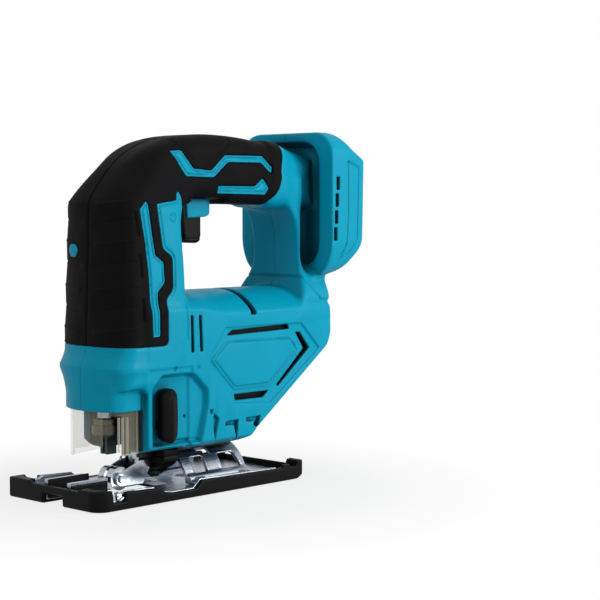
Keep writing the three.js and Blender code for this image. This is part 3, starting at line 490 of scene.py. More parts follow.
def post_form():
    """The rear post, broad at its foot and waisted below the mount."""
    side = rounded([
        (76, 176), (118, 176), (118, 134), (110.3, 118), (110.3, 92), (80, 92), (87.6, 108), (92, 120),
        (92.3, 136), (90.0, 150), (83, 160),
    ], [0, 0, 10, 10, 0, 0, 6, 8, 12, 12, 10])
    flare = 1 - ramp(104, 136, g.z)
    waist = ramp(92.5, 101, g.x) * ramp(116, 128, g.z)
    half = POST_HALF + 9.0 * flare ** 2 - 11.0 * waist
    return g.plate(area(side, g.x, g.z), half, 2.6, 2.0)


def neck_form():
    """The handle's rear end, narrowing before it meets the battery mount."""
    along = ramp(76, 100, g.x)
    half = 18.4 - 8.5 * along
    top, low = 195.4 - 4.0 * along, 160 + 4.0 * along
    tube = corner(g.y - half, np.abs(g.z - (top + low) / 2) - (top - low) / 2, 11)
    return common(tube, np.abs(g.x - 92) - 19, 2.0)


MOUNT_SIDE = rounded([
    (101.2, 115.4), (105, 115.4), (116, 120.6), (126.5, 132.6), (128.8, 138.5), (129.8, 186.4),
    (119.5, 192.8), (111.5, 203.3), (101.2, 203.3),
], [3, 3, 3, 3, 3, 1.5, 2.5, 3, 3])
MOUNT_FACE = rounded([
    (-5, 203.3), (28, 203.3), (38.45, 195), (38.45, 134), (34, 122.5), (25, 116.5), (-5, 115.4),
], [0, 7, 7, 10, 8, 6, 0])
DISH = rounded(
    [(-5, 197), (20, 197), (27.2, 189), (27.2, 132), (20, 123.5), (-5, 123.5)], [0, 8, 8, 9, 8, 0],
)


def mount_form():
    """The battery mount, with the dish in its front face."""
    form = common(area(MOUNT_SIDE, g.x, g.z), area(MOUNT_FACE, g.y, g.z), 1.6)
    dish = area(DISH, g.y, g.z) + 2.6 * ramp(101, 108, g.x) * ramp(176, 190, g.z)
    return without(form, np.maximum(dish, g.x - 108.6), 1.2)


def nose_ring(front, half, bow, edge):
    """A plan outline of the nose: a bowed front, rounded corners and straight sides."""
    crown = bow * (half_width / half) ** 2.2
    return corner(front + crown - g.x, g.y - half, edge)


def nose_form():
    """The flared band under the rubber, and the narrower nose that its overhang tapers to."""
    side = 29.9 - 0.9 * ramp(-40, -6, g.x)
    crest = nose_ring(-58.2, side, 8.0, 6.5)
    upper = nose_ring(-54.0, 28.9, 7.0, 5.5)
    lower = nose_ring(NOSE_FRONT, NOSE_HALF, NOSE_BOW, NOSE_CORNER)
    flare = np.interp(g.z, [70, 72.6, 76.3, 80.5], [0, 0, 0.55, 1]).astype(np.float32)
    taper = np.interp(g.z, [58, 70.4], [1, 0]).astype(np.float32)
    ring = crest * (1 - flare - taper) + upper * flare + lower * taper
    ring = np.maximum(ring, g.x + 12)
    return common(ring, np.abs(g.z - 66.5) - 17.8, 0.8)


outer = union(grip_form(), union(body_form(), post_form(), 3.0), 5.0)
outer = union(outer, neck_form(), 8.0)
outer = union(outer, mount_form(), 5.0)
outer = union(outer, nose_form(), 1.2)
# slanted lower edges, which leave room for the tilting shoe
outer = common(outer, (23.4 + 0.45 * (g.y - 19.5) - g.z) * 0.912, 1.2)
# a flat back below the mount, and the CAD's own size
outer = common(outer, g.x - 111.5 - 20 * ramp(114, 119, g.z), 0.8)
outer = np.maximum(outer, g.z - FORM_TOP)
outer = np.maximum(outer, g.x - FORM_REAR)

# ------------------------------------------------ rubber zone and teal inlays, on the side
ZONE = rounded([
    (-75, 83.7), (-21.4, 83.7), (-21.2, 109.1), (-16.1, 113.3), (-16, 131.6), (-22.9, 135.7),
    (-26.8, 160.4), (-10.7, 162.3), (-9.9, 165.9), (-7.9, 167.4), (-5.8, 164.6), (-4.6, 150),
    (70, 150), (66.6, 160.7), (73.8, 167.6), (75.6, 174.2), (75.9, 183), (78, 190), (83, 199),
    (83, 215), (-75, 215),
], [0, 3, 2, 3, 3, 2, 1, 1, 1, 1, 1, 0, 0, 4, 4, 5, 5, 5, 0, 0, 0])
BAR = [
    (-34, 162.2), (-39, 157.5), (-36, 141), (-33.9, 124.9), (-32.3, 88.2), (-27, 88.6), (-27.2, 112.5),
    (-22.1, 117.5), (-22.4, 128.5), (-28.4, 132.8), (-31, 148.6), (-32.7, 159.5),
]
ZIGZAG = [
    (-11, 189.4), (-2.1, 190), (7.4, 180), (21, 179.1), (31.5, 187.9), (61.2, 188.2), (69.1, 181.7),
    (68.6, 177.6), (60.7, 183.8), (34, 183.7), (23, 174.9), (1.2, 175.3),
]
LOWER_BAR = [(26.5, 170.6), (55.4, 170.5), (61.8, 175.3), (67, 169.5), (64.4, 165.4), (26.9, 165.9)]
DASHES = [
    [(-42.2, 155.9), (-40.2, 143.7)], [(-39.6, 133), (-38.3, 121.3)], [(-37.7, 108.9), (-37.8, 98.2)],
]
CREASES = [
    [(-7.1, 199), (-7.1, 196.4), (6.9, 184.5)], [(36.7, 200), (36.7, 196.4), (26.4, 186.7)],
]
RUBBER_DEPTH = 2.0
RUBBER_PROUD = 0.3
zone = area(ZONE, g.x, g.z)
inlay = area(rounded(BAR, 0.8), g.x, g.z)
for shape in (ZIGZAG, LOWER_BAR):
    inlay = np.minimum(inlay, area(rounded(shape, 0.8), g.x, g.z))
inlay = np.maximum(inlay, 8 - g.y)


def rubber_field():
    """The rubber cover, ribbed in front, dashed and creased on its side, and open at the inlays."""
    rib_z = [84, 91, 103, 114, 127, 138.5, 150, 160, 168]
    ribs = np.interp(g.z, rib_z, [0, 0.3, -0.3, 0.3, -0.3, 0.3, -0.3, 0.2, 0]).astype(np.float32)
    sag = 0.003 * half_width ** 2
    for z in (91, 114, 138.5, 160):
        ribs = ribs + line(g.z - z - sag, 0.55, 0.45)
    for z in (103, 127, 150):
        ribs = ribs - line(g.z - z - sag, 0.5, 0.5)
    cover = outer - ribs * (1 - ramp(-43, -39.5, g.x)) * ramp(3, 8, g.y)
    for run in DASHES:
        cover = cover + side_gate * line(trail(run, g.x, g.z), 0.7, 1.0)
    for run in CREASES:
        cover = cover + line(trail(run, g.x, g.z), 0.45, 0.45)
    cover = cover + line(g.y, 0.7, 0.5)
    field = common(cover - RUBBER_PROUD, zone, 0.9)
    field = np.maximum(field, -(outer + RUBBER_DEPTH))
    return np.maximum(field, 0.15 - inlay)


# ------------------------------------------------ teal shell: panels and grooves on the side
PANEL_RIM = [(8.6, 73.2), (22, 91.2), (84.1, 90.8), (100.3, 74.6), (58.4, 45), (28.1, 47.2)]
PANEL = [(11.3, 73), (23.7, 84), (75, 83.2), (82.6, 74.8), (56.8, 55), (29.1, 55)]
SLOTS = [
    [(27.9, 89), (73.5, 90), (74.7, 87.2), (24, 86.2)],
    [(29.4, 52.4), (57.6, 52.4), (52.7, 48.8), (30.5, 49)],
    [(-3.9, 99), (-1.9, 99), (-1.3, 78.4), (-3.3, 78.6)],
    [(2.4, 98.9), (4.4, 98.8), (5.4, 78.5), (3.4, 78.7)],
]
CHEVRON = [(80, 84.9), (83.7, 84.9), (92, 75.1), (65.2, 54.1), (63.9, 55.2), (86.6, 75.1)]
DIAMOND = [(13, 44.2), (17.6, 40), (14.1, 26.1), (12.5, 36.7)]
SEVENS = [
    [(21.8, 37.5), (32.2, 38.2), (30.9, 25.5), (29.3, 31.6), (28.5, 35.1), (21.8, 35.5)],
    [(38.1, 38.2), (49.9, 38.8), (48.2, 31.6), (44.0, 33.4), (44.0, 35.9), (38.1, 36.3)],
]
KNOB_RECESS = [
    (-31.8, 27.4), (-31.8, 61.5), (-25.3, 68.4), (-6.3, 68.3), (0, 67.3), (10.3, 57.2), (10.2, 48.2),
    (4.8, 26.8),
]
DENTS = [
    [(9.6, 45.8), (13.4, 45.8), (11.8, 41.2)], [(-6.4, 44.2), (-3.4, 44.2), (-4.9, 40.8)],
]
PIPS = [(-16.1, 70.4), (1.7, 69.6)]
ROUND_MARK = (-14.8, 152.6)
MOUNT_REAR_LINE = [(115.4, 185.4), (124.6, 181.7), (123.4, 139), (116.9, 130.9), (100.3, 119.8)]
MOUNT_FRONT_LINE = [(115.4, 185.4), (115.5, 155.4), (114.3, 136.6), (109.1, 126.4), (100.3, 119.8)]
SPLIT = [(80, 120.4), (88.6, 120.2), (91.4, 116.4), (101.7, 103), (113, 102.4)]
SCREWS = [(-29, 152), (-10, 178), (60, 178), (96, 140), (100, 94), (58, 46), (-25.5, 124)]
MOUNT_VENTS = [(104.4, 142.4), (105.1, 152.4), (105.8, 162.4), (106.5, 172.4)]
VENT_HALF_WIDTH, VENT_HALF_HEIGHT = 1.4, 3.9
WALL = 3.4
SEAM_OVERLAP = 0.15
NOSE_WALL = 1.6
ZONE_GAP, BED_GAP = 0.08, 0.1
INLAY_PROUD = 0.2
DECK_SLOT_X, DECK_SLOT_Z = 44.6, 106
# rooms for what the shell holds or lets through; x, y and z from and to
MOUNT_CORE = (115.9, 132, -40, 33.4, 137, 206)
GEAR_ROOM = (-36.2, -11.9, -5, 12.9, 10, 60.4)
SADDLE_ROOM = (-12.4, 42.4, -5, 12.9, 10, 40.4)
GUARD_ROOM = (-80, -34.4, -5, 23.3, 10, 65.3)
SOCKET_ROOMS = [
    (119.4, 126.8, -5, 30.5, 140, 210), (119.4, 135, -5, 26.5, 140, 210),
    (110.6, 125.8, -5, 17.3, 145.7, 178.3),
]
ARCH_BED = 25.35
ROD_ROOM, ROD_ROOM_TOP = 5.3, 164.4
SELECTOR_HOLE = 4.3
SCREW_HOLE = 3.6


def press(outline, depth, slope, radius=1.0):
    """Depth of a flat-bottomed recess with sloping walls, for an outline on the side."""
    return depth * ramp(0, slope, -area(rounded(outline, radius), g.x, g.z)) * side_gate


def engrave(run, width, depth):
    """Depth of a groove along a run of points on the side."""
    return side_gate * line(trail(run, g.x, g.z), width, depth)


def side_relief():
    """How far the teal surface lies below the plain form, the same on both sides."""
    depth = press(PANEL_RIM, 1.1, 1.0)
    depth = depth - press(PANEL, 0.9, 0.7)
    inner = area(rounded(PANEL, 1), g.x, g.z)
    depth = depth + side_gate * line(inner + 1.6, 0.55, 0.9)
    depth = depth + press(DIAMOND, 2.3, 1.2, 0.4)
    for outline in SEVENS:
        depth = depth + press(outline, 2.7, 0.4, 0.3)
    depth = depth + line(trail(SPLIT, g.x, g.z), 0.6, 0.9) * ramp(79, 82, g.x)
    depth = depth + engrave([(-7.2, 135), (-6.6, 85.6)], 0.5, 0.8)
    ring = np.hypot(g.x - ROUND_MARK[0], g.z - ROUND_MARK[1])
    depth = depth + side_gate * (line(ring - 2.3, 0.45, 0.7) + line(ring, 0.8, 0.3))
    edge = (1 - ramp(-4, -2, g.x)) * ramp(109, 111, g.z)
    depth = depth + side_gate * edge * line(zone - 1.7, 0.5, 0.8)
    for dent in DENTS:
        depth = depth + press(dent, 1.6, 0.9, 0.3)
    # the side below the rubber is set back, and the flank behind the panel leans in
    low_side = (1 - ramp(-3.5, -1.5, g.x)) * (1 - ramp(70.4, 71.4, g.z)) * ramp(-36, -34, g.x)
    depth = depth + 0.9 * low_side * side_gate
    for x, z in PIPS:
        depth = depth + side_gate * 0.7 * (1 - ramp(1.0, 1.5, np.hypot(g.x - x, g.z - z)))
    beyond = (g.x - 86.2) * 0.737 + (g.z - 101.8) * 0.676
    depth = depth + 0.07 * np.clip(beyond, 0, 20) * side_gate * (1 - ramp(101, 103, g.z))
    return depth


def mount_relief():
    """Grooves round the mount's side wall."""
    gate = ramp(33.5, 36.5, g.y) * ramp(101.8, 102.6, g.x)
    rear, front = trail(MOUNT_REAR_LINE, g.x, g.z), trail(MOUNT_FRONT_LINE, g.x, g.z)
    return gate * (line(rear, 0.5, 0.9) + line(front, 0.5, 0.9))


def shell_field(side):
    """The teal half shell; side -1 is the tool's left, with the selector's recess."""
    relief = side_relief() + mount_relief()
    sunk = np.zeros_like(relief)
    if side < 0:
        sunk = press(KNOB_RECESS, 3.6, 3.2, 2.0)
    face = outer + relief + sunk
    face = np.maximum(face, -np.maximum(zone - ZONE_GAP, -(outer + RUBBER_DEPTH + BED_GAP)))
    raised = common(outer - INLAY_PROUD, inlay + 0.1, 0.7) + line(inlay + 1.5, 0.5, 0.9)
    face = np.minimum(face, raised)
    deep = WALL + 1.8 * np.clip(0.5 - zone / 3, 0, 1)
    hollow = outer + sunk + deep
    hollow = np.maximum(hollow, -g.block(*MOUNT_CORE))
    shell = np.maximum(face, -hollow)
    for room in (GEAR_ROOM, SADDLE_ROOM, *SOCKET_ROOMS):
        shell = np.maximum(shell, -g.block(*room))
    shell = np.maximum(shell, -np.maximum(np.sqrt(g.y ** 2 + g.z ** 2) - ARCH_BED, -11.3 - g.x))
    mouth = nose_ring(NOSE_FRONT, NOSE_HALF, NOSE_BOW, NOSE_CORNER) + NOSE_WALL
    shell = np.maximum(shell, -np.maximum(g.block(*GUARD_ROOM), mouth))
    rod_room = np.hypot(g.x - ROD_X, g.y) - ROD_ROOM
    shell = np.maximum(shell, -np.maximum(rod_room, g.z - ROD_ROOM_TOP))
    # vents in the side, the mount and the deck
    for outline in (*SLOTS, CHEVRON):
        shell = without(shell, np.maximum(area(outline, g.x, g.z), 14 - g.y), 0.5)
    for x, z in MOUNT_VENTS:
        vent = np.maximum(np.abs(g.x - x) - VENT_HALF_WIDTH, np.abs(g.z - z) - VENT_HALF_HEIGHT)
        shell = without(shell, np.maximum(vent, 30 - g.y), 0.4)
    deck_slot = np.maximum(np.abs(g.x - DECK_SLOT_X) - 2.2, np.abs(g.z - DECK_SLOT_Z) - 9)
    shell = without(shell, deck_slot, 0.5)
    shell = np.maximum(shell, -g.block(*TRIGGER_WELL))
    if side < 0:
        shell = np.maximum(shell, SELECTOR_HOLE - np.hypot(g.x - SELECTOR_X, g.z - SELECTOR_Z))
    else:
        for x, z in SCREWS:
            spot = np.hypot(g.x - x, g.z - z)
            shell = np.maximum(shell, -np.maximum(spot - SCREW_HOLE, 14 - g.y))
    # the seam: each half goes a little past the middle, so that no light shows through
    return common(shell, -SEAM_OVERLAP - g.y, 0.5)


rubber = np.maximum(rubber_field(), -g.block(*TRIGGER_WELL))
rubber = common(rubber, -SEAM_OVERLAP - g.y, 0.7)
for side, word in SIDES:
    shell_mesh = sculpted("shell_" + word, g, shell_field(side), 0.2, side)
    link("shell_" + word, shell_mesh, TEAL, "housing", ["housing_" + word])
    rubber_mesh = sculpted("rubber_" + word, g, rubber, 0.22, side)
    link("rubber_" + word, rubber_mesh, RUBBER, "housing", ["grip_" + word])


# ------------------------------------------------ vent screens and front button
SCREEN_FACE, SCREEN_BACK = 4.0, 4.9
SCREW_BOSS = 4.4
screen = np.maximum(outer + SCREEN_FACE, -(outer + SCREEN_BACK))
screen = np.maximum(screen, g.block(-6, 92, 0.4, 28, 45, 118))
screen = np.maximum(screen, 3 - area(KNOB_RECESS, g.x, g.z))
for x, z in SCREWS:
    screen = np.maximum(screen, SCREW_BOSS - np.hypot(g.x - x, g.z - z))
for side, word in SIDES:
    screen_mesh = sculpted("vent_screen_" + word, g, screen, 0.15, side)
    link("vent_screen_" + word, screen_mesh, BLACK, "housing")

BUTTON = rounded(
    [(8.4, 135.2), (11.6, 139.2), (17.4, 138.8), (20, 135.2), (17.4, 131.4), (11.6, 131)], 1.4,
)
button = common(outer - 0.8, area(BUTTON, g.y, g.z), 1.0)
button = np.maximum(button, np.maximum(-(outer + 1.5), g.x + 36))
link("front_button", sculpted("front_button", g, button, 0.6), TEAL, "housing")


# ------------------------------------------------ trigger
t = Grid((8.4, 33.2), (-8.2, 8.2), (135.5, 170.5), 0.4)
LEVER_HALF = 6.0
CAP_HALF = 7.1
LEVER = rounded([
    (9.7, 169), (15.6, 169), (16, 164), (26.1, 158), (26.1, 147), (26.1, 137.6), (12.9, 138.4),
    (10.9, 150),
], [1, 1, 2, 4, 8, 4.5, 2.2, 4])
CAP = rounded([
    (12.6, 164.1), (31.7, 164.1), (31.5, 154), (28.4, 152.8), (14, 152.2),
], [1, 1, 2.4, 3, 1])
lever = t.plate(area(LEVER, t.x, t.z), LEVER_HALF, 2.2)
# a bowed line above the lever's tip
lever = lever + line(t.z - 140.2 - 0.018 * (t.x - 18) ** 2, 0.45, 0.35)
cap = t.plate(area(CAP, t.x, t.z), CAP_HALF, 1.1)
lever_mesh = sculpted("trigger_blade", t, lever, 0.5)
link("trigger_blade", lever_mesh, BLACK, "trigger", ["trigger_lever"])
cap_mesh = sculpted("trigger_shroud", t, cap, 0.5)
link("trigger_shroud", cap_mesh, TEAL, "trigger", ["trigger_cap"])


COIL_STEPS, COIL_SIDES = 24, 8
SPRING_X, SPRING_FOOT, SPRING_TOP = 18, 169.3, 179.7


def coil(name, x, z0, z1, radius, wire, turns):
    """A helical spring about an upright axis in the middle plane, its wire eight-sided."""
    steps = COIL_STEPS * turns
    a = np.linspace(0, 2 * math.pi * turns, steps + 1)[:, None]
    b = np.linspace(0, 2 * math.pi, COIL_SIDES, endpoint=False)[None, :]
    out = radius + wire * np.cos(b)
    rise = z0 + wire + (z1 - z0 - 2 * wire) * a / a[-1] + wire * np.sin(b)
    points = np.stack([x + out * np.cos(a), out * np.sin(a), rise], axis=2).reshape(-1, 3)
    i, j = np.arange(steps)[:, None] * COIL_SIDES, np.arange(COIL_SIDES)[None, :]
    k = (j + 1) % COIL_SIDES
    quads = np.stack([i + j, i + COIL_SIDES + j, i + COIL_SIDES + k, i + k], axis=2).reshape(-1, 4)
    end = np.array([[0, 1, 2, 3], [0, 3, 4, 7], [4, 5, 6, 7]])
    mesh = mesh_of(name, points, np.concatenate([quads, end, end[:, ::-1] + COIL_SIDES * steps]))
    smooth(mesh)
    return mesh


spring_mesh = coil("trigger_coil", SPRING_X, SPRING_FOOT, SPRING_TOP, radius=2.5, wire=0.45, turns=5)
spring = link("trigger_coil", spring_mesh, STEEL, "housing", ["trigger_spring"])
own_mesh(spring)


# ------------------------------------------------ orbital selector knob
k = Grid((-28.2, -14.4), (24.6, 36.2), (28.8, 61.6), 0.36)
KNOB_MIDDLE_Z = 45.15
KNOB_STRAIGHT = 9.65
KNOB_RADIUS = 5.3
KNOB_UNDERSIDE = 26.1
KNOB_CREST = 34.7
ends = np.maximum(np.abs(k.z - KNOB_MIDDLE_Z) - KNOB_STRAIGHT, 0)
stadium = np.hypot(k.x - SELECTOR_X, ends) - KNOB_RADIUS
crown = KNOB_CREST - 0.42 * np.abs(k.x + 21.6) - 0.004 * (k.z - KNOB_MIDDLE_Z) ** 2
knob = common(stadium, k.y - crown, 2.4)
# the tail is cut higher underneath, to clear the housing when the knob is turned
knob = np.maximum(knob, KNOB_UNDERSIDE + np.clip((34 - k.z) * 0.8, 0, 3) - k.y)
pointer = area(rounded([(-21.2, 59.0), (-18.4, 54.8), (-22.8, 54.8)], 0.5), k.x, k.z)
knob = without(knob, np.maximum(pointer, 33.1 - k.y), 0.4)
knob_mesh = sculpted("selector_knob_grip", k, knob, 0.5, -1)
link("selector_knob_grip", knob_mesh, BLACK, "selector", ["selector_knob"])


# ------------------------------------------------ clear dust cover
c = Grid((-56, -34), (-24, 24), (20.5, 50.6), 0.4)
GUARD_FRONT, GUARD_HALF, GUARD_CORNER = -54.2, 21.6, 4.5
GUARD_REAR, GUARD_TOP = -35.4, 49.5
GUARD_WALL = 1.5
RIB_X = (-49.6, -46.2, -42.8)
RIB_WIDTH, RIB_HEIGHT = 0.62, 0.8
bow = NOSE_BOW * (np.abs(c.y) / NOSE_HALF) ** 2.2
skin = corner(GUARD_FRONT + bow * 0.7 - c.x, np.abs(c.y) - GUARD_HALF, GUARD_CORNER)
ribs = np.zeros(np.broadcast(c.x, c.z).shape, dtype=np.float32)
for x in RIB_X:
    ribs = ribs + np.exp(-(((c.x - x) / RIB_WIDTH) ** 2))
ribs = ribs * ramp(26.5, 28, c.z) * (1 - ramp(44, 46, c.z)) * (1 - ramp(-22.6, -19.6, c.y))
guard = np.maximum(skin, -(skin + GUARD_WALL + RIB_HEIGHT * ribs))
guard = np.maximum(guard, c.x - GUARD_REAR)
# the lower edge is slanted in front and level on the sides
foot_z = np.where(c.x > -46, 24.9, 26.4 - 0.247 * np.maximum(c.y, -13)).astype(np.float32)
foot_z = np.where(c.y < -15, 25.0, np.minimum(foot_z, 29.6))
guard = common(guard, foot_z - c.z, 0.5)
guard = common(guard, c.z - GUARD_TOP, 0.5)
# a window in front, a clipped corner beside it, and two dents
window = np.maximum(np.abs(c.y + 16.2) - 5.0, np.maximum(c.x + 47, c.z - 46.5))
guard = without(guard, window, 0.5)
clipped = (c.x + 51.5) * 0.75 + (c.z - 28.5) * 0.66
guard = np.maximum(guard, -np.maximum(clipped, np.maximum(c.y + 14, c.x + 46)))
for z in (46.6, 43.4):
    dent = np.sqrt((c.y - 20.4) ** 2 + (c.z - z) ** 2)
    guard = np.maximum(guard, -np.maximum(dent - 0.8, c.x + 44))
guard_mesh = sculpted("dust_guard", c, guard, 0.5)
link("dust_guard", guard_mesh, CLEAR, "dust_cover", ["dust_cover"])


# ------------------------------------------------ shoe cover and the plate's edge
SOLE = 1.5
s = Grid((-79.2, 77.4), (-39.8, 39.8), (-1.2, 13.2), 0.5)


def sheet(inset, radius):
    """The shoe's outline in plan, set in; only the front left corner is well rounded."""
    radius = np.where((s.x < 0) & (s.y < 0), radius, 0.18 * radius)
    dx = np.abs(s.x - SHOE_MIDDLE) - (SHOE_HALF_LENGTH - inset)
    return corner(dx, np.abs(s.y) - (SHOE_HALF_WIDTH - inset), radius)


def height(v, *steps):
    """A height that changes along v in straight runs; the steps are pairs of v and height."""
    at, level = zip(*steps)
    return np.interp(v, at, level).astype(np.float32)


rim_top = height(
    s.x, (-78, 11.2), (-68.6, 11.2), (-67.9, 11.0), (-67.4, 4.6), (-59.4, 4.6), (-58.9, 9.6),
    (-36.5, 8.6), (-31.8, 6.0), (-24.7, 4.7), (-9, 4.7), (-4, 9.0), (40, 8.2), (59, 7.9),
    (60.5, 9.6), (64.5, 9.6), (66, 7.8), (70, 7.8), (71.5, 11), (76, 11),
)
front_top = height(s.y, (-38, 11.2), (-23, 11.2), (-20, 9.9), (19, 9.9), (21, 11.2), (38, 11.2))
rear_top = height(np.abs(s.y), (0, 7.8), (27, 7.8), (28.5, 11.1), (38, 11.1))
top = np.where(s.x < -73, front_top, np.where(s.x > 73, rear_top, rim_top))
cover = common(sheet(0, 8.5), -s.z, 1.6)
cover = common(cover, s.z - top, 0.9)
chamfer = (s.x - 71.5) * 0.56 - s.z * 0.83
cover = common(cover, chamfer, 0.5)
# the trough that holds the plate, which the four corners roof over
inner = np.maximum(sheet(2.4, 6.6), SOLE - s.z)
lip = np.maximum(sheet(6.0, 4.0), SOLE - s.z)
front_corners = np.maximum(np.abs(s.x + 76) - 6, 22 - np.abs(s.y))
rear_corners = np.maximum(70 - s.x, 29 - np.abs(s.y))
roof = np.maximum(np.minimum(front_corners, rear_corners), 8.4 - s.z)
cover = np.maximum(cover, -np.where(roof < 0, lip, inner))
# the blade's slot, its wide part for the roller, and the clamp bolt's hole
slot = np.maximum(np.abs(s.y) - 8.6, s.x + 45)
slot = np.minimum(slot, np.maximum(np.abs(s.y) - 13.4, np.abs(s.x + 26.5) - 19.8))
slot = np.minimum(slot, np.hypot(s.x - BOLT_X, s.y) - 6.4)
cover = without(cover, np.maximum(slot, s.z - 1.9), 0.3)
cover = without(cover, np.maximum(np.abs(s.y) - 8.5, np.maximum(s.x + 74.5, s.z - 5.8)), 0.5)
cover_mesh = sculpted("shoe_cover_moulding", s, cover, 0.2)
link("shoe_cover_moulding", cover_mesh, BLACK, "shoe", ["shoe_cover"])

edge_top = height(
    s.x, (-78, 0), (-63.6, 0), (-63.2, 8.6), (-59.6, 8.6), (-58.6, 9.9), (-36.8, 9.1), (-35, 0),
    (-30.5, 0), (-29.6, 6.0), (-24.2, 5.2), (-9.2, 5.2), (-3.8, 9.6), (40, 8.8), (56, 8.4), (57, 0),
    (76, 0),
)
band = np.maximum(sheet(2.5, 6.4), -sheet(3.9, 5.0))
band = np.maximum(band, np.maximum(30 - np.abs(s.y), 4.0 - s.z))
band = common(band, (s.z - edge_top) * 0.7, 0.5)
tab = np.maximum(np.abs(s.x + 61.5) - 1.7, np.abs(np.abs(s.y) - 37.2) - 0.9)
tab = np.maximum(tab, np.abs(s.z - 5.9 - 0.5 * (s.x + 61.5)) - 0.7)
band = np.minimum(band, tab)
link("plate_edge", sculpted("plate_edge", s, band, 0.4), ZINC, "shoe")


# ------------------------------------------------ black chip shroud ahead of the arch
b = Grid((-14.6, -1.8), (-19, 19), (5.5, 25.2), 0.45)
lowest = 6.4 + 0.6 * np.abs(b.y)
shroud = common(b.block(-13.8, -2.9, -17.2, 17.2, 6, 24.2), (lowest - b.z) * 0.86, 0.8)
for z in (12.5, 16.5, 20.5):
    shroud = shroud + line(b.z - z, 0.5, 0.5)
shroud = np.maximum(shroud, -np.maximum(np.abs(b.y) - 5.2, b.x + 8.5))
link("chip_shroud", sculpted("chip_shroud", b, shroud, 0.5), BLACK, "housing")


# ------------------------------------------------ guard ribs, blade bay and slot liners
def bars(grid, boxes):
    """Several bars as one field."""
    return np.minimum.reduce([grid.block(*box) for box in boxes])


r = Grid((-52, -33), (-24, 24), (23.5, 62), 0.42)
rib_field = bars(r, [
    (-48.9, -47.9, -20.7, -19.1, 27, 46), (-46.8, -45.8, -21.4, -19.5, 26, 46),
    (-43.5, -42.5, -21.4, -19.5, 26, 46), (-36.6, -35.8, -21.4, -20.1, 25, 49.2),
    (-47.5, -36, -21.4, -20.2, 24.9, 25.9),
])
link("guard_ribs", sculpted("guard_ribs", r, rib_field, 0.5), CLEAR_RIB, "dust_cover")
liner = np.maximum(r.block(-34.9, -33.9, -22.8, 22.8, 26.5, 60), 12.9 - np.abs(r.y))
link("blade_bay_liner", sculpted("blade_bay_liner", r, liner, 0.3), CAST, "housing")

n = Grid((-76, -5), (-14, 14), (1, 13.5), 0.5)
liner = bars(n, [(-74.5, -46.7, 7.3, 8.1, 2, 12.7), (-74, -49.4, -11.9, -11.1, 4.6, 11.4)])
link("slot_liner", sculpted("slot_liner", n, liner, 0.3), BLACK, "shoe")


# ------------------------------------------------ arch with pressed windows
ARCH_RADIUS, ARCH_THICKNESS = 23.75, 2.4
ARCH_MIDDLE, ARCH_HALF_LENGTH = 20.85, 23.1
CROWN_HALF = 14
FOOT_Y, FOOT_HALF_WIDTH, FOOT_Z, FOOT_HALF_THICKNESS = 26.9, 4.2, 5.9, 1.1
BEAD_Y, BEAD_Z, BEAD_RADIUS = 24.6, 7.2, 2.3
FOOT_SOLE = 4.75
WINDOWS = [
    [(3.5, 9.6), (14.5, 9.6), (14.5, 19.2), (4.6, 19.2)],
    [(25.5, 9.8), (40.5, 9.8), (38.5, 19.2), (25.5, 19.2)],
]
v = Grid((-3.4, 45.2), (-32.4, 32.4), (4.0, 25.6), 0.42)
reach = np.sqrt(v.y ** 2 + v.z ** 2)
arch = np.abs(reach - ARCH_RADIUS) - ARCH_THICKNESS / 2
foot_across = np.abs(np.abs(v.y) - FOOT_Y) - FOOT_HALF_WIDTH
foot = np.maximum(foot_across, np.abs(v.z - FOOT_Z) - FOOT_HALF_THICKNESS)
bead = np.sqrt((np.abs(v.y) - BEAD_Y) ** 2 + (v.z - BEAD_Z) ** 2) - BEAD_RADIUS
arch = union(union(arch, bead, 2.0), foot, 1.0)
arch = np.maximum(arch, FOOT_SOLE - v.z)
arch = common(arch, np.abs(v.x - ARCH_MIDDLE) - ARCH_HALF_LENGTH, 0.6)
# height up the flank, along which the windows are drawn
turned = v.z - 0.25 * (np.abs(v.y) - 22)
for outline in WINDOWS:
    hole = area(rounded(outline, 1.6), v.x, turned)
    rim = np.maximum(np.abs(hole - 0.6) - 0.7, np.abs(reach - 24.4) - 0.65)
    arch = np.maximum(arch, -np.maximum(hole, CROWN_HALF - np.abs(v.y)))
    arch = np.minimum(arch, np.maximum(rim, CROWN_HALF - np.abs(v.y)))
bolt_slot = np.maximum(np.abs(v.x - BOLT_X) - 4.6, np.maximum(np.abs(v.y) - 16.5, 15 - v.z))
arch = without(arch, bolt_slot, 0.4)
link("arch_pressing", sculpted("arch_pressing", v, arch, 0.4), ZINC, "shoe", ["base_arch"])


# ------------------------------------------------ finishes of the CAD's own parts
BEVEL_WIDTH = 0.3
BEVEL_FROM_DEGREES = 50
FINISH = {
    ZINC: ["base_plate", "clamp_bolt", "clamp_plate"],
    CHROME: ["blade_roller", "roller_bracket", "roller_pin"],
    STEEL: [
        "arm_pivot_pin", "slider_rod", "slider_yoke", "motor_shaft", "pinion", "crank_gear", "gear_shaft",
        "counterweight", "crank_pin_roller", "front_bearing", "rear_bearing", "gear_bearing",
    ],
    DARK_STEEL: ["clamp_collar", "stator", "rotor_core"],
    CAST: ["gear_housing"],
    PAINTED: ["blade_clamp"],
    COPPER: ["stator_windings"],
    BRONZE: ["lower_bush", "upper_bush", "positive_terminal", "negative_terminal", "signal_terminal"],
    BOARD: ["controller_board"],
    BLACK: ["fan", "selector_shaft", "switch_body", "capacitor", "terminal_block"],
}
FINISH[ZINC] += [name for name in nodes if name.startswith("arch_rivet")]
FINISH[DARK_STEEL] += [name for name in nodes if name.startswith("housing_screw")]
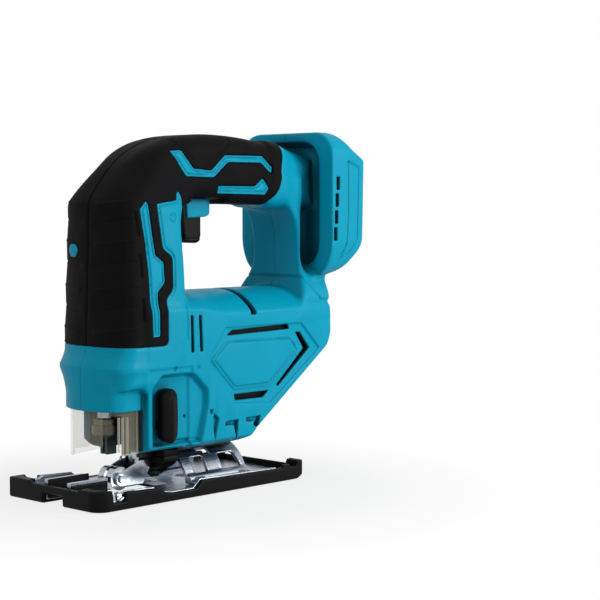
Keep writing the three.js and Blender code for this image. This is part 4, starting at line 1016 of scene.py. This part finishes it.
for finish, names in FINISH.items():
    for name in names:
        nodes[name].data.materials.clear()
        nodes[name].data.materials.append(finish)
        bevel = nodes[name].modifiers.new("bevel", "BEVEL")
        bevel.width = BEVEL_WIDTH * MM
        bevel.segments = 2
        bevel.limit_method = "ANGLE"
        bevel.angle_limit = math.radians(BEVEL_FROM_DEGREES)


# ------------------------------------------------ floor, light
SOFT_LIGHT = 0.34
WHITE = (1, 1, 1, 1)
FLOOR_HALF = 4.0
FLOOR_HEIGHT = -0.0003
FLOOR_COLOUR = (0.6, 0.6, 0.6, 1)


def camera_white(tree):
    """1 for what the camera, mirrors and glass see."""
    path = tree.nodes.new("ShaderNodeLightPath")
    seen = path.outputs["Is Camera Ray"]
    for other in ("Is Glossy Ray", "Is Transmission Ray"):
        most = tree.nodes.new("ShaderNodeMath")
        most.operation = "MAXIMUM"
        tree.links.new(seen, most.inputs[0])
        tree.links.new(path.outputs[other], most.inputs[1])
        seen = most.outputs[0]
    return seen


def build_world():
    """Soft light all round, and plain white behind the object."""
    world = bpy.data.worlds.new("world")
    bpy.context.scene.world = world
    world.use_nodes = True
    tree = world.node_tree
    soft = tree.nodes["Background"]
    soft.inputs["Color"].default_value = WHITE
    soft.inputs["Strength"].default_value = SOFT_LIGHT
    white = tree.nodes.new("ShaderNodeBackground")
    white.inputs["Color"].default_value = WHITE
    white.inputs["Strength"].default_value = 1.0
    mix = tree.nodes.new("ShaderNodeMixShader")
    tree.links.new(camera_white(tree), mix.inputs[0])
    tree.links.new(soft.outputs[0], mix.inputs[1])
    tree.links.new(white.outputs[0], mix.inputs[2])
    tree.links.new(mix.outputs[0], tree.nodes["World Output"].inputs["Surface"])


def build_floor():
    """A pale floor that fades to the background's white away from the object."""
    mesh = bpy.data.meshes.new("floor")
    signs = ((-1, -1), (1, -1), (1, 1), (-1, 1))
    corners = [(a * FLOOR_HALF, b * FLOOR_HALF, FLOOR_HEIGHT) for a, b in signs]
    mesh.from_pydata(corners, [], [(0, 1, 2, 3)])
    n = Nodes("floor")
    n.shader.inputs["Base Color"].default_value = FLOOR_COLOUR
    n.shader.inputs["Roughness"].default_value = 0.9
    n.shader.inputs["Specular IOR Level"].default_value = 0.0
    glow = n.add("ShaderNodeEmission", Strength=1.0)
    where = n.add("ShaderNodeTexCoord")
    length = n.tree.nodes.new("ShaderNodeVectorMath")
    length.operation = "LENGTH"
    n.wire(where.outputs["Object"], length.inputs[0])
    far = n.span(length.outputs["Value"], 0.1, 0.2, 0.8, 1.0)
    seen = camera_white(n.tree)
    share = n.tree.nodes.new("ShaderNodeMath")
    share.operation = "MULTIPLY"
    n.wire(far, share.inputs[0])
    n.wire(seen, share.inputs[1])
    mix = n.tree.nodes.new("ShaderNodeMixShader")
    n.wire(share.outputs[0], mix.inputs[0])
    n.wire(n.shader.outputs[0], mix.inputs[1])
    n.wire(glow.outputs[0], mix.inputs[2])
    n.wire(mix.outputs[0], n.tree.nodes["Material Output"].inputs["Surface"])
    mesh.materials.append(n.material)
    floor = bpy.data.objects.new("floor", mesh)
    bpy.context.scene.collection.objects.link(floor)


def lamp(name, place, target, power, size):
    """A square soft box, aimed at a target."""
    data = bpy.data.lights.new(name, "AREA")
    data.energy = power
    data.shape = "SQUARE"
    data.size = size
    obj = bpy.data.objects.new(name, data)
    obj.location = place
    obj.rotation_euler = (Vector(target) - Vector(place)).to_track_quat("-Z", "Y").to_euler()
    bpy.context.scene.collection.objects.link(obj)


build_world()
build_floor()
lamp("key", place=(0.55, -1.05, 0.42), target=(0.02, 0, 0.1), power=11.5, size=0.45)
lamp("front", place=(-0.95, -0.25, 0.8), target=(0, 0, 0.1), power=3.2, size=0.6)
lamp("top", place=(-0.1, 0.15, 1.1), target=(0.03, 0, 0.1), power=0.8, size=0.7)
bpy.context.scene.view_settings.view_transform = "Standard"
